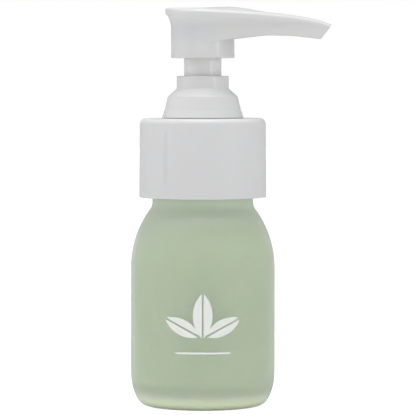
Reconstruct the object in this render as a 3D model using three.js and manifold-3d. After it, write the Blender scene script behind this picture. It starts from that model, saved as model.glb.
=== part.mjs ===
import * as THREE from 'three';
import { mergeVertices } from 'three/addons/utils/BufferGeometryUtils.js';
import Module from 'manifold-3d';

// A 50 ml frosted glass bottle with a lotion pump, in millimetres, +Z up.
// The origin is the centre of the bottle's base. The spout points along +X.

const wasm = await Module();
wasm.setup();

// General clearances
const CLEARANCE = 0.3;
const RUNNING_GAP = 0.27;
const BARREL_GAP = 0.2;

// Bottle, outside
const BODY_RADIUS = 19.5;
const HEEL_TOP_Z = 9;
const HEEL_SWEEP_RADIUS = 15.6;
const HEEL_CORNER_RADIUS = 3.9;
const BODY_STRAIGHT_HEIGHT = 28;
const SHOULDER_RADIUS = 27;
const BEAD_RADIUS = 13.6;
const BEAD_HEIGHT = 2.45;
const NECK_FILLET_RADIUS = 3.5;
const NECK_RADIUS = 12.6;
const FINISH_HEIGHT = 16;
const MOUTH_EDGE = 0.5;

// Bottle, inside
const GLASS_WALL = 2.2;
const GLASS_BASE = 3.2;
const INNER_CORNER_RADIUS = 3;
const NECK_BORE_RADIUS = 9.4;
const INNER_NECK_FILLET_RADIUS = 5;

// Screw thread, a right-hand one
const THREAD_PITCH = 4.23;
const THREAD_TURNS = 1.5;
const NECK_THREAD_DEPTH = 1;
const NECK_THREAD_ROOT_WIDTH = 2.2;
const NECK_THREAD_CREST_WIDTH = 0.9;
const NECK_THREAD_DROP = 9.3;
const COLLAR_THREAD_DEPTH = 1.25;
const COLLAR_THREAD_ROOT_WIDTH = 2;
const COLLAR_THREAD_CREST_WIDTH = 0.7;
const THREAD_FLANK_GAP = 0.4;
const THREAD_RUN_OUT = 0.08;
const THREAD_SINK = 0.4;

// Gel
const GEL_TOP_ABOVE_BEAD = 2.5;

// Gasket and flange
const GASKET_THICKNESS = 1.2;
const GASKET_INNER_RADIUS = 9.4;
const FLANGE_RADIUS = 12.4;
const FLANGE_THICKNESS = 1.3;

// Collar
const COLLAR_HEIGHT = 21.3;
const COLLAR_TOP_RADIUS = 16.95;
const COLLAR_BOTTOM_RADIUS = 17.16;
const COLLAR_TOP_WALL = 1.5;
const COLLAR_EDGE_RADIUS = 1.5;
const COLLAR_SHELL_WALL = 1.2;
const COLLAR_SKIRT_INNER_RADIUS = 14.2;
const COLLAR_SKIRT_WALL = 1.1;
const COLLAR_SKIRT_SHORTER = 1.8;
const COLLAR_GROOVE_ROOF = 3;

// Pump housing
const BARREL_BORE_RADIUS = 6.3;
const BARREL_WALL = 1.2;
const BARREL_LENGTH = 29.7;
const BARREL_NECK_RADIUS = 8.6;
const BARREL_NECK_LENGTH = 4.2;
const UPRIGHT_HEIGHT = 5.5;
const VENT_RADIUS = 0.5;
const LIP_RADIUS = 1.95;
const LIP_THICKNESS = 0.8;
const LIP_NOTCH_WIDTH = 1;
const LIP_NOTCH_COUNT = 3;
const BALL_CHAMBER_RADIUS = 2.8;
const BALL_CHAMBER_HEIGHT = 3.3;
const BALL_CHAMBER_WALL = 1.6;
const SEAT_CONE_HEIGHT = 2;
const SEAT_PORT_RADIUS = 1.4;
const SEAT_PORT_LENGTH = 1.9;
const SOCKET_LENGTH = 8;
const SOCKET_WALL = 1;

// Inlet ball and dip tube
const BALL_RADIUS = 2.2;
const BALL_SEAT_GAP = 0.05;
const TUBE_RADIUS = 2.5;
const TUBE_BORE_RADIUS = 1.7;
const TUBE_BASE_GAP = 1.8;
const SOCKET_GAP = 0.15;

// Chaplet, the stepped cone on top of the collar
const CHAPLET_BASE_GAP = 0.1;
const CHAPLET_BASE_RADIUS = 11;
const CHAPLET_FLARE_HEIGHT = 2.1;
const CHAPLET_CONE_BASE_RADIUS = 10.3;
const CHAPLET_CONE_HEIGHT = 3.65;
const CHAPLET_CONE_TOP_RADIUS = 9.4;
const CHAPLET_CHAMFER_HEIGHT = 2.15;
const CHAPLET_RING_RADIUS = 7;
const CHAPLET_RING_HEIGHT = 3.4;
const CHAPLET_EDGE = 0.25;
const SLEEVE_RADIUS = 7.1;
const SLEEVE_DROP = 9.3;

// Stem, piston, piston seat and spring
const STEM_RADIUS = 5.03;
const STEM_BORE_RADIUS = 2.2;
const STEM_VISIBLE_LENGTH = 4.8;
const STEM_IN_HEAD_LENGTH = 9.6;
const STEM_SHOULDER_HEIGHT = 1.5;
const STEM_SHOULDER_GAP = 0.4;
const ROD_RADIUS = 3.6;
const ROD_WINDOW_WIDTH = 1.8;
const ROD_WINDOW_HEIGHT = 3;
const ROD_WINDOW_RISE = 1;
const PISTON_LENGTH = 5;
const PISTON_WAIST_RADIUS = 5.1;
const PISTON_LIP_HEIGHT = 1.1;
const PISTON_ROOM = 1.1;
const SEAT_FLANGE_RADIUS = 4.8;
const SEAT_FLANGE_THICKNESS = 1.2;
const SEAT_PIN_LENGTH = 5.5;
const SEAT_PIN_FLAT = 1.1;
const WIRE_RADIUS = 0.4;
const SPRING_RADIUS = 4.2;
const SPRING_TURNS = 7;
const SPRING_CLOSED_TURNS = 1;
const SPRING_CLOSED_PITCH = 0.9;
const SPRING_END_GAP = 0.05;

// Actuator head
const SKIRT_RADIUS = 8.53;
const SKIRT_WALL = 1.18;
const BOSS_WALL = 1.3;
const BOSS_GAP = 0.1;
const BOSS_RISE = 4.5;
const HEAD_RIM_RADIUS = 10.04;
const HEAD_RIM_HEIGHT = 13.4;
const HEAD_RIM_THICKNESS = 1.5;
const HEAD_FLARE_HEIGHT = 3.4;
const HEAD_ROOF_WALL = 1.3;
const HEAD_SIDE_WALL = 1.2;
const CROWN_HEIGHT = 0.9;
const CROWN_CENTRE_X = 7;
const CROWN_HALF_LENGTH = 17;
const ROOF_BACK_BEND_X = 11;
const ROOF_BACK_BEND_DROP = 0.6;
const ROOF_TIP_BEND_SETBACK = 6.8;
const ROOF_TIP_BEND_RISE = 3;
const SPOUT_TIP_X = 34.8;
const SPOUT_TIP_TOP_RISE = 9.1;
const SPOUT_TIP_SETBACK = 3;
const SPOUT_TIP_HEIGHT = 3.9;
const SPOUT_TIP_HALF_WIDTH = 3.75;
const SPOUT_ARCH_RISE = 6.35;
const SPOUT_ARCH_X = 19.7;
const SPOUT_SOLID_LENGTH = 2.4;
const FLOW_TUBE_RADIUS = 2.4;
const FLOW_BORE_RADIUS = 1.6;
const FLOW_AXIS_RISE = 8.4;
const FLOW_TIP_RISE = 7.2;

// Facets
const OUTER_FACETS = 36;
const INNER_FACETS = 24;
const TUBE_FACETS = 16;
const WIRE_FACETS = 6;
const WIRE_STEPS_PER_TURN = 14;
const ARC_STEPS = 2;
const ROOF_STEPS = 9;
const CROWN_STEPS = 6;

// Heights worked out from the sizes above, from the base upwards
const shoulderStartZ = HEEL_TOP_Z + BODY_STRAIGHT_HEIGHT;
const shoulderCentreRadius = BODY_RADIUS - SHOULDER_RADIUS;
const beadStartZ = neckFillet(SHOULDER_RADIUS, BEAD_RADIUS, NECK_FILLET_RADIUS).z;
const beadTopZ = beadStartZ + BEAD_HEIGHT;
const mouthZ = beadTopZ + FINISH_HEIGHT;
const flangeBottomZ = mouthZ + GASKET_THICKNESS;
const flangeTopZ = flangeBottomZ + FLANGE_THICKNESS;
const collarTopZ = flangeTopZ + COLLAR_TOP_WALL;
const collarBottomZ = collarTopZ - COLLAR_HEIGHT;
const uprightTopZ = flangeTopZ + UPRIGHT_HEIGHT;
const chapletBaseZ = collarTopZ + CHAPLET_BASE_GAP;
const chapletConeZ = chapletBaseZ + CHAPLET_FLARE_HEIGHT;
const chapletChamferZ = chapletConeZ + CHAPLET_CONE_HEIGHT;
const ringBottomZ = chapletChamferZ + CHAPLET_CHAMFER_HEIGHT;
const ringTopZ = ringBottomZ + CHAPLET_RING_HEIGHT;
const skirtBottomZ = ringTopZ + STEM_VISIBLE_LENGTH;
const stemTopZ = skirtBottomZ + STEM_IN_HEAD_LENGTH;
const sleeveBottomZ = uprightTopZ - SLEEVE_DROP;
const shoulderTopZ = sleeveBottomZ;
const shoulderBottomZ = shoulderTopZ - STEM_SHOULDER_HEIGHT;
const pistonTopZ = shoulderBottomZ - PISTON_ROOM;
const pistonBottomZ = pistonTopZ - PISTON_LENGTH;
const seatBottomZ = pistonBottomZ - SEAT_FLANGE_THICKNESS;
const barrelFloorZ = flangeBottomZ - BARREL_LENGTH;
const ballChamberTopZ = barrelFloorZ - LIP_THICKNESS;
const seatConeTopZ = ballChamberTopZ - BALL_CHAMBER_HEIGHT;
const seatConeBottomZ = seatConeTopZ - SEAT_CONE_HEIGHT;
const socketTopZ = seatConeBottomZ - SEAT_PORT_LENGTH;
const socketBottomZ = socketTopZ - SOCKET_LENGTH;

// Radii worked out the same way
const barrelRadius = BARREL_BORE_RADIUS + BARREL_WALL;
const uprightBoreRadius = SLEEVE_RADIUS + CLEARANCE;
const collarHoleRadius = BARREL_NECK_RADIUS + CLEARANCE;
const chapletBoreRadius = STEM_RADIUS + RUNNING_GAP;
const socketBoreRadius = TUBE_RADIUS + SOCKET_GAP;
const socketRadius = socketBoreRadius + SOCKET_WALL;
const bossBoreRadius = STEM_RADIUS + BOSS_GAP;
const skirtInnerRadius = SKIRT_RADIUS - SKIRT_WALL;

// A closed solid becomes a body that can be joined and cut.
function toSolid(geometry) {
  const bare = geometry.clone();
  bare.deleteAttribute('normal');
  bare.deleteAttribute('uv');
  const merged = mergeVertices(bare, 1e-4);
  const triangles = [];
  const index = merged.index.array;
  for (let i = 0; i < index.length; i += 3) {
    const [a, b, c] = [index[i], index[i + 1], index[i + 2]];
    if (a !== b && b !== c && c !== a) {
      triangles.push(a, b, c);
    }
  }
  return new wasm.Manifold(new wasm.Mesh({
    numProp: 3,
    vertProperties: new Float32Array(merged.attributes.position.array),
    triVerts: new Uint32Array(triangles),
  }));
}

function toGeometry(solid) {
  const mesh = solid.getMesh();
  const geometry = new THREE.BufferGeometry();
  geometry.setAttribute('position', new THREE.BufferAttribute(mesh.vertProperties, 3));
  geometry.setIndex(new THREE.BufferAttribute(mesh.triVerts, 1));
  geometry.computeVertexNormals();
  return geometry;
}

function plastic(colour, roughness) {
  return new THREE.MeshStandardMaterial({ color: colour, roughness, metalness: 0 });
}

function namedMesh(name, geometry, material) {
  const mesh = new THREE.Mesh(geometry, material);
  mesh.name = name;
  return mesh;
}

// A body of revolution about Z. The outline runs in (radius, height), up the outside first.
function turned(outline, facets) {
  const points = outline.getPoints(ARC_STEPS);
  const clean = points.filter((p, i) => i === 0 || p.distanceTo(points[i - 1]) > 1e-6);
  return new THREE.LatheGeometry(clean, facets).rotateX(Math.PI / 2);
}

function outlineOf(corners) {
  const outline = new THREE.Path();
  outline.moveTo(...corners[0]);
  corners.slice(1).forEach(([radius, z]) => outline.lineTo(radius, z));
  return outline;
}

// A pipe about Z with flat ends.
function pipe(innerRadius, outerRadius, bottomZ, topZ, facets) {
  return turned(outlineOf([
    [innerRadius, bottomZ],
    [outerRadius, bottomZ],
    [outerRadius, topZ],
    [innerRadius, topZ],
    [innerRadius, bottomZ],
  ]), facets);
}

// A plain disc or rod about Z.
function rod(radius, bottomZ, topZ, facets) {
  return turned(outlineOf([[0, bottomZ], [radius, bottomZ], [radius, topZ], [0, topZ]]), facets);
}

// Where the hollow fillet under a neck meets the round shoulder below it.
function neckFillet(arcRadius, neckRadius, filletRadius) {
  const reach = arcRadius + filletRadius;
  const sideways = neckRadius + filletRadius - shoulderCentreRadius;
  const rise = Math.sqrt(reach * reach - sideways * sideways);
  return { z: shoulderStartZ + rise, angle: Math.atan2(rise, sideways) };
}

// The heel: a flat base, a small corner and a large sweep up to the straight wall.
function addHeel(outline, bodyRadius, sweepRadius, cornerRadius, floorZ) {
  const sweepCentre = bodyRadius - sweepRadius;
  const cornerZ = floorZ + cornerRadius;
  const drop = HEEL_TOP_Z - cornerZ;
  const along = Math.sqrt((sweepRadius - cornerRadius) ** 2 - drop * drop);
  const join = -Math.atan2(drop, along);
  outline.lineTo(sweepCentre + along, floorZ);
  outline.absarc(sweepCentre + along, cornerZ, cornerRadius, -Math.PI / 2, join, false);
  outline.absarc(sweepCentre, HEEL_TOP_Z, sweepRadius, join, 0, false);
}

// The round shoulder and the hollow fillet into the neck.
function addShoulder(outline, arcRadius, neckRadius, filletRadius) {
  const { z, angle } = neckFillet(arcRadius, neckRadius, filletRadius);
  outline.absarc(shoulderCentreRadius, shoulderStartZ, arcRadius, 0, angle, false);
  outline.absarc(neckRadius + filletRadius, z, filletRadius, angle + Math.PI, Math.PI, true);
}

// The same two stretches taken downwards, for the inside of the glass.
function addShoulderDown(outline, arcRadius, neckRadius, filletRadius) {
  const { z, angle } = neckFillet(arcRadius, neckRadius, filletRadius);
  outline.absarc(neckRadius + filletRadius, z, filletRadius, Math.PI, angle + Math.PI, false);
  outline.absarc(shoulderCentreRadius, shoulderStartZ, arcRadius, angle, 0, true);
}

function addHeelDown(outline, bodyRadius, sweepRadius, cornerRadius, floorZ) {
  const sweepCentre = bodyRadius - sweepRadius;
  const cornerZ = floorZ + cornerRadius;
  const drop = HEEL_TOP_Z - cornerZ;
  const along = Math.sqrt((sweepRadius - cornerRadius) ** 2 - drop * drop);
  const join = -Math.atan2(drop, along);
  outline.absarc(sweepCentre, HEEL_TOP_Z, sweepRadius, 0, join, true);
  outline.absarc(sweepCentre + along, cornerZ, cornerRadius, join, -Math.PI / 2, true);
}

// A closed skin over rings of points that all have the same number of points.
function skinOverRings(rings) {
  const count = rings[0].length;
  const positions = rings.flat().flatMap((p) => [p.x, p.y, p.z]);
  const triangles = [];
  for (let ring = 0; ring < rings.length - 1; ring += 1) {
    for (let i = 0; i < count; i += 1) {
      const a = ring * count + i;
      const b = ring * count + ((i + 1) % count);
      triangles.push(a, b, b + count, a, b + count, a + count);
    }
  }
  const last = (rings.length - 1) * count;
  for (let i = 1; i < count - 1; i += 1) {
    triangles.push(0, i + 1, i, last, last + i, last + i + 1);
  }
  const geometry = new THREE.BufferGeometry();
  geometry.setAttribute('position', new THREE.Float32BufferAttribute(positions, 3));
  geometry.setIndex(triangles);
  return geometry;
}

// One screw thread: a tapering ridge swept up a helix, sunk into the wall that carries it.
// A direction of 1 points the ridge outwards, and -1 inwards.
function threadRidge({ wallRadius, depth, rootWidth, crestWidth, startZ, direction }) {
  const steps = Math.round(OUTER_FACETS * THREAD_TURNS);
  const rings = [];
  for (let step = 0; step <= steps; step += 1) {
    const share = step / steps;
    const turn = share * THREAD_TURNS;
    const angle = turn * 2 * Math.PI;
    const fade = Math.min(1, share / THREAD_RUN_OUT, (1 - share) / THREAD_RUN_OUT);
    const height = depth * Math.max(fade, 0.02) * direction;
    const sink = -THREAD_SINK * direction;
    const z = startZ + turn * THREAD_PITCH;
    const section = [
      [wallRadius + sink, z - rootWidth / 2],
      [wallRadius + height, z - crestWidth / 2],
      [wallRadius + height, z + crestWidth / 2],
      [wallRadius + sink, z + rootWidth / 2],
    ];
    if (direction > 0) {
      section.reverse();
    }
    rings.push(section.map(([radius, level]) => (
      new THREE.Vector3(radius * Math.cos(angle), radius * Math.sin(angle), level)
    )));
  }
  return skinOverRings(rings);
}

function makeBottle() {
  const outline = new THREE.Path();
  outline.moveTo(0, 0);
  addHeel(outline, BODY_RADIUS, HEEL_SWEEP_RADIUS, HEEL_CORNER_RADIUS, 0);
  addShoulder(outline, SHOULDER_RADIUS, BEAD_RADIUS, NECK_FILLET_RADIUS);
  outline.lineTo(BEAD_RADIUS, beadTopZ - MOUTH_EDGE);
  outline.lineTo(BEAD_RADIUS - MOUTH_EDGE, beadTopZ);
  outline.lineTo(NECK_RADIUS, beadTopZ);
  outline.lineTo(NECK_RADIUS, mouthZ - MOUTH_EDGE);
  outline.lineTo(NECK_RADIUS - MOUTH_EDGE, mouthZ);
  outline.lineTo(NECK_BORE_RADIUS, mouthZ);
  addShoulderDown(
    outline, SHOULDER_RADIUS - GLASS_WALL, NECK_BORE_RADIUS, INNER_NECK_FILLET_RADIUS,
  );
  addHeelDown(
    outline, BODY_RADIUS - GLASS_WALL, HEEL_SWEEP_RADIUS - GLASS_WALL,
    INNER_CORNER_RADIUS, GLASS_BASE,
  );
  outline.lineTo(0, GLASS_BASE);
  const glass = toSolid(turned(outline, OUTER_FACETS));
  const thread = toSolid(threadRidge({
    wallRadius: NECK_RADIUS,
    depth: NECK_THREAD_DEPTH,
    rootWidth: NECK_THREAD_ROOT_WIDTH,
    crestWidth: NECK_THREAD_CREST_WIDTH,
    startZ: mouthZ - NECK_THREAD_DROP,
    direction: 1,
  }));
  return toGeometry(glass.add(thread));
}

// The gel fills the glass up to the neck and leaves room for the pump.
function makeGel() {
  const topZ = beadTopZ + GEL_TOP_ABOVE_BEAD;
  const boreRadius = NECK_BORE_RADIUS - CLEARANCE;
  const arcRadius = SHOULDER_RADIUS - GLASS_WALL - CLEARANCE;
  const barrelHole = barrelRadius + CLEARANCE;
  const socketHole = Math.max(socketRadius, BALL_CHAMBER_RADIUS + BALL_CHAMBER_WALL) + CLEARANCE;
  const tubeHole = TUBE_RADIUS + CLEARANCE;
  const tubeHoleBottomZ = GLASS_BASE + TUBE_BASE_GAP - CLEARANCE;
  const outline = new THREE.Path();
  outline.moveTo(0, GLASS_BASE + CLEARANCE);
  addHeel(
    outline, BODY_RADIUS - GLASS_WALL - CLEARANCE, HEEL_SWEEP_RADIUS - GLASS_WALL - CLEARANCE,
    INNER_CORNER_RADIUS - CLEARANCE, GLASS_BASE + CLEARANCE,
  );
  addShoulder(outline, arcRadius, boreRadius, INNER_NECK_FILLET_RADIUS + CLEARANCE);
  outline.lineTo(boreRadius, topZ);
  outline.lineTo(barrelHole, topZ);
  outline.lineTo(barrelHole, barrelFloorZ - LIP_THICKNESS - CLEARANCE);
  outline.lineTo(socketHole, seatConeTopZ - CLEARANCE);
  outline.lineTo(socketHole, socketBottomZ - CLEARANCE);
  outline.lineTo(tubeHole, socketBottomZ - CLEARANCE);
  outline.lineTo(tubeHole, tubeHoleBottomZ);
  outline.lineTo(0, tubeHoleBottomZ);
  return turned(outline, OUTER_FACETS);
}

// The collar is double-walled: a threaded skirt inside a smooth outer shell.
function makeCollar() {
  const skirtRadius = COLLAR_SKIRT_INNER_RADIUS + COLLAR_SKIRT_WALL;
  const skirtBottomLevel = collarBottomZ + COLLAR_SKIRT_SHORTER;
  const shellInner = COLLAR_BOTTOM_RADIUS - COLLAR_SHELL_WALL;
  const grooveTopZ = flangeTopZ - COLLAR_GROOVE_ROOF + COLLAR_TOP_WALL;
  const outline = new THREE.Path();
  outline.moveTo(shellInner, collarBottomZ);
  outline.lineTo(COLLAR_BOTTOM_RADIUS, collarBottomZ);
  outline.lineTo(COLLAR_TOP_RADIUS, collarTopZ - COLLAR_EDGE_RADIUS);
  outline.absarc(
    COLLAR_TOP_RADIUS - COLLAR_EDGE_RADIUS, collarTopZ - COLLAR_EDGE_RADIUS,
    COLLAR_EDGE_RADIUS, 0, Math.PI / 2, false,
  );
  outline.lineTo(collarHoleRadius, collarTopZ);
  outline.lineTo(collarHoleRadius, flangeTopZ);
  outline.lineTo(COLLAR_SKIRT_INNER_RADIUS, flangeTopZ);
  outline.lineTo(COLLAR_SKIRT_INNER_RADIUS, skirtBottomLevel);
  outline.lineTo(skirtRadius, skirtBottomLevel);
  outline.lineTo(skirtRadius, grooveTopZ);
  outline.lineTo(shellInner, grooveTopZ);
  outline.lineTo(shellInner, collarBottomZ);
  const shell = toSolid(turned(outline, OUTER_FACETS));
  const underNeckThread = (NECK_THREAD_CREST_WIDTH + COLLAR_THREAD_ROOT_WIDTH) / 2 + THREAD_FLANK_GAP;
  const thread = toSolid(threadRidge({
    wallRadius: COLLAR_SKIRT_INNER_RADIUS,
    depth: COLLAR_THREAD_DEPTH,
    rootWidth: COLLAR_THREAD_ROOT_WIDTH,
    crestWidth: COLLAR_THREAD_CREST_WIDTH,
    startZ: mouthZ - NECK_THREAD_DROP - underNeckThread,
    direction: -1,
  }));
  return toGeometry(shell.add(thread));
}

function makeGasket() {
  return pipe(GASKET_INNER_RADIUS, FLANGE_RADIUS, mouthZ, flangeBottomZ, OUTER_FACETS);
}

// The housing: flange, barrel, ball chamber and the socket for the dip tube, in one moulding.
function makeHousing() {
  const chamberRadius = BALL_CHAMBER_RADIUS + BALL_CHAMBER_WALL;
  const neckEndZ = flangeBottomZ - BARREL_NECK_LENGTH;
  const sleevePocketZ = sleeveBottomZ - CLEARANCE;
  const body = toSolid(turned(outlineOf([
    [socketBoreRadius, socketBottomZ],
    [socketRadius, socketBottomZ],
    [socketRadius, seatConeBottomZ],
    [chamberRadius, seatConeTopZ],
    [barrelRadius, ballChamberTopZ],
    [barrelRadius, neckEndZ - (BARREL_NECK_RADIUS - barrelRadius)],
    [BARREL_NECK_RADIUS, neckEndZ],
    [BARREL_NECK_RADIUS, flangeBottomZ],
    [FLANGE_RADIUS, flangeBottomZ],
    [FLANGE_RADIUS, flangeTopZ],
    [BARREL_NECK_RADIUS, flangeTopZ],
    [BARREL_NECK_RADIUS, uprightTopZ],
    [uprightBoreRadius, uprightTopZ],
    [uprightBoreRadius, sleevePocketZ],
    [BARREL_BORE_RADIUS, sleevePocketZ],
    [BARREL_BORE_RADIUS, barrelFloorZ],
    [LIP_RADIUS, barrelFloorZ],
    [LIP_RADIUS, ballChamberTopZ],
    [BALL_CHAMBER_RADIUS, ballChamberTopZ],
    [BALL_CHAMBER_RADIUS, seatConeTopZ],
    [SEAT_PORT_RADIUS, seatConeBottomZ],
    [SEAT_PORT_RADIUS, socketTopZ],
    [socketBoreRadius, socketTopZ],
    [socketBoreRadius, socketBottomZ],
  ]), INNER_FACETS));
  const vent = new THREE.CylinderGeometry(
    VENT_RADIUS, VENT_RADIUS, BARREL_NECK_RADIUS * 2, WIRE_FACETS * 2,
  );
  vent.translate(0, BARREL_NECK_RADIUS, (shoulderBottomZ + pistonTopZ) / 2);
  let housing = body.subtract(toSolid(vent));
  for (let i = 0; i < LIP_NOTCH_COUNT; i += 1) {
    const notch = new THREE.BoxGeometry(BALL_CHAMBER_RADIUS, LIP_NOTCH_WIDTH, LIP_THICKNESS * 2);
    notch.translate(BALL_CHAMBER_RADIUS / 2, 0, barrelFloorZ - LIP_THICKNESS / 2);
    notch.rotateZ((i * 2 * Math.PI) / LIP_NOTCH_COUNT);
    housing = housing.subtract(toSolid(notch));
  }
  return toGeometry(housing);
}

// The chaplet caps the housing: it guides the stem and shows as the stepped cone.
function makeChaplet() {
  return turned(outlineOf([
    [collarHoleRadius, chapletBaseZ],
    [CHAPLET_BASE_RADIUS, chapletBaseZ],
    [CHAPLET_BASE_RADIUS, chapletBaseZ + CHAPLET_EDGE],
    [(CHAPLET_BASE_RADIUS + CHAPLET_CONE_BASE_RADIUS) / 2 - CHAPLET_EDGE / 2,
      chapletBaseZ + CHAPLET_FLARE_HEIGHT * 0.45],
    [CHAPLET_CONE_BASE_RADIUS, chapletConeZ],
    [CHAPLET_CONE_TOP_RADIUS, chapletChamferZ],
    [CHAPLET_RING_RADIUS, ringBottomZ],
    [CHAPLET_RING_RADIUS, ringTopZ - CHAPLET_EDGE],
    [CHAPLET_RING_RADIUS - CHAPLET_EDGE, ringTopZ],
    [chapletBoreRadius, ringTopZ],
    [chapletBoreRadius, sleeveBottomZ],
    [SLEEVE_RADIUS, sleeveBottomZ],
    [SLEEVE_RADIUS, uprightTopZ],
    [collarHoleRadius, uprightTopZ],
    [collarHoleRadius, chapletBaseZ],
  ]), INNER_FACETS);
}

function makeDipTube() {
  return pipe(
    TUBE_BORE_RADIUS, TUBE_RADIUS, GLASS_BASE + TUBE_BASE_GAP, socketTopZ, TUBE_FACETS,
  );
}

// The ball rests on the cone below its chamber.
function makeInletBall() {
  const halfAngle = Math.atan2(BALL_CHAMBER_RADIUS - SEAT_PORT_RADIUS, SEAT_CONE_HEIGHT);
  const apexZ = seatConeBottomZ - SEAT_PORT_RADIUS / Math.tan(halfAngle);
  const centreZ = apexZ + (BALL_RADIUS + BALL_SEAT_GAP) / Math.sin(halfAngle);
  return new THREE.SphereGeometry(BALL_RADIUS, TUBE_FACETS, TUBE_FACETS / 2)
    .rotateX(Math.PI / 2)
    .translate(0, 0, centreZ);
}

// A coil spring with one closed turn at each end.
class SpringWire extends THREE.Curve {
  getPoint(t, target = new THREE.Vector3()) {
    const turn = t * SPRING_TURNS;
    const bottomZ = barrelFloorZ + WIRE_RADIUS + SPRING_END_GAP;
    const topZ = seatBottomZ - WIRE_RADIUS - SPRING_END_GAP;
    const closed = SPRING_CLOSED_TURNS * SPRING_CLOSED_PITCH;
    const open = SPRING_TURNS - 2 * SPRING_CLOSED_TURNS;
    const openPitch = (topZ - bottomZ - 2 * closed) / open;
    const low = Math.min(turn, SPRING_CLOSED_TURNS) * SPRING_CLOSED_PITCH;
    const middle = THREE.MathUtils.clamp(turn - SPRING_CLOSED_TURNS, 0, open) * openPitch;
    const high = Math.max(turn - SPRING_CLOSED_TURNS - open, 0) * SPRING_CLOSED_PITCH;
    const angle = turn * 2 * Math.PI;
    return target.set(
      SPRING_RADIUS * Math.cos(angle), SPRING_RADIUS * Math.sin(angle),
      bottomZ + low + middle + high,
    );
  }
}

function makeSpring() {
  const section = new THREE.Shape();
  for (let i = 0; i < WIRE_FACETS; i += 1) {
    const angle = (i * 2 * Math.PI) / WIRE_FACETS;
    const [x, y] = [WIRE_RADIUS * Math.cos(angle), WIRE_RADIUS * Math.sin(angle)];
    if (i === 0) {
      section.moveTo(x, y);
    } else {
      section.lineTo(x, y);
    }
  }
  return new THREE.ExtrudeGeometry(section, {
    extrudePath: new SpringWire(),
    steps: SPRING_TURNS * WIRE_STEPS_PER_TURN,
    bevelEnabled: false,
  });
}

// The seat: a flange that closes the piston from below, on a flatted pin in the stem.
function makePistonSeat() {
  const pinRadius = STEM_BORE_RADIUS - CLEARANCE;
  const pinTopZ = pistonBottomZ + SEAT_PIN_LENGTH;
  const flange = toSolid(rod(SEAT_FLANGE_RADIUS, seatBottomZ, pistonBottomZ, INNER_FACETS));
  const pin = toSolid(rod(pinRadius, seatBottomZ, pinTopZ, TUBE_FACETS));
  const slab = toSolid(new THREE.BoxGeometry(
    pinRadius * 3, SEAT_PIN_FLAT * 2, (pinTopZ - seatBottomZ) * 3,
  ).translate(0, 0, pinTopZ));
  return toGeometry(flange.add(pin.intersect(slab)));
}

function makePiston() {
  const lipRadius = BARREL_BORE_RADIUS - BARREL_GAP;
  const boreRadius = ROD_RADIUS + CLEARANCE;
  return turned(outlineOf([
    [boreRadius, pistonBottomZ],
    [lipRadius - BARREL_GAP, pistonBottomZ],
    [lipRadius, pistonBottomZ + BARREL_GAP],
    [lipRadius, pistonBottomZ + PISTON_LIP_HEIGHT],
    [PISTON_WAIST_RADIUS, pistonBottomZ + PISTON_LIP_HEIGHT + BARREL_GAP],
    [PISTON_WAIST_RADIUS, pistonTopZ - PISTON_LIP_HEIGHT - BARREL_GAP],
    [lipRadius, pistonTopZ - PISTON_LIP_HEIGHT],
    [lipRadius, pistonTopZ],
    [boreRadius, pistonTopZ],
    [boreRadius, pistonBottomZ],
  ]), INNER_FACETS);
}

// The stem: a tube with a stop shoulder and a thinner rod with two windows to its bore.
function makeStem() {
  const shoulderRadius = BARREL_BORE_RADIUS - STEM_SHOULDER_GAP;
  const tube = toSolid(turned(outlineOf([
    [STEM_BORE_RADIUS, pistonBottomZ],
    [ROD_RADIUS, pistonBottomZ],
    [ROD_RADIUS, shoulderBottomZ],
    [shoulderRadius, shoulderBottomZ],
    [shoulderRadius, shoulderTopZ],
    [STEM_RADIUS, shoulderTopZ],
    [STEM_RADIUS, stemTopZ],
    [STEM_BORE_RADIUS, stemTopZ],
    [STEM_BORE_RADIUS, pistonBottomZ],
  ]), INNER_FACETS));
  const windows = toSolid(new THREE.BoxGeometry(
    ROD_WINDOW_WIDTH, ROD_RADIUS * 3, ROD_WINDOW_HEIGHT,
  ).translate(0, 0, pistonBottomZ + ROD_WINDOW_RISE + ROD_WINDOW_HEIGHT / 2));
  return toGeometry(tube.subtract(windows));
}

// The head seen from above: a round back with walls that run straight to the spout's tip.
function headPlanRing(backRadius, tipX, tipHalfWidth, z) {
  const reach = Math.hypot(tipX, tipHalfWidth);
  const touch = Math.atan2(tipHalfWidth, tipX) + Math.acos(backRadius / reach);
  const ring = [new THREE.Vector3(tipX, -tipHalfWidth, z), new THREE.Vector3(tipX, tipHalfWidth, z)];
  for (let i = 0; i <= INNER_FACETS; i += 1) {
    const angle = touch + ((2 * Math.PI - 2 * touch) * i) / INNER_FACETS;
    ring.push(new THREE.Vector3(backRadius * Math.cos(angle), backRadius * Math.sin(angle), z));
  }
  return ring;
}

// The line of the roof's rim, from behind the head to the top of the spout's tip.
function roofLine(inset) {
  const rimZ = skirtBottomZ + HEAD_RIM_HEIGHT - inset;
  const tipTopZ = skirtBottomZ + SPOUT_TIP_TOP_RISE - inset;
  const fall = new THREE.CubicBezierCurve(
    new THREE.Vector2(0, rimZ),
    new THREE.Vector2(ROOF_BACK_BEND_X, rimZ - ROOF_BACK_BEND_DROP),
    new THREE.Vector2(SPOUT_TIP_X - ROOF_TIP_BEND_SETBACK, tipTopZ + ROOF_TIP_BEND_RISE),
    new THREE.Vector2(SPOUT_TIP_X, tipTopZ),
  );
  return [new THREE.Vector2(-HEAD_RIM_RADIUS - 1, rimZ), ...fall.getPoints(ROOF_STEPS)];
}

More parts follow.
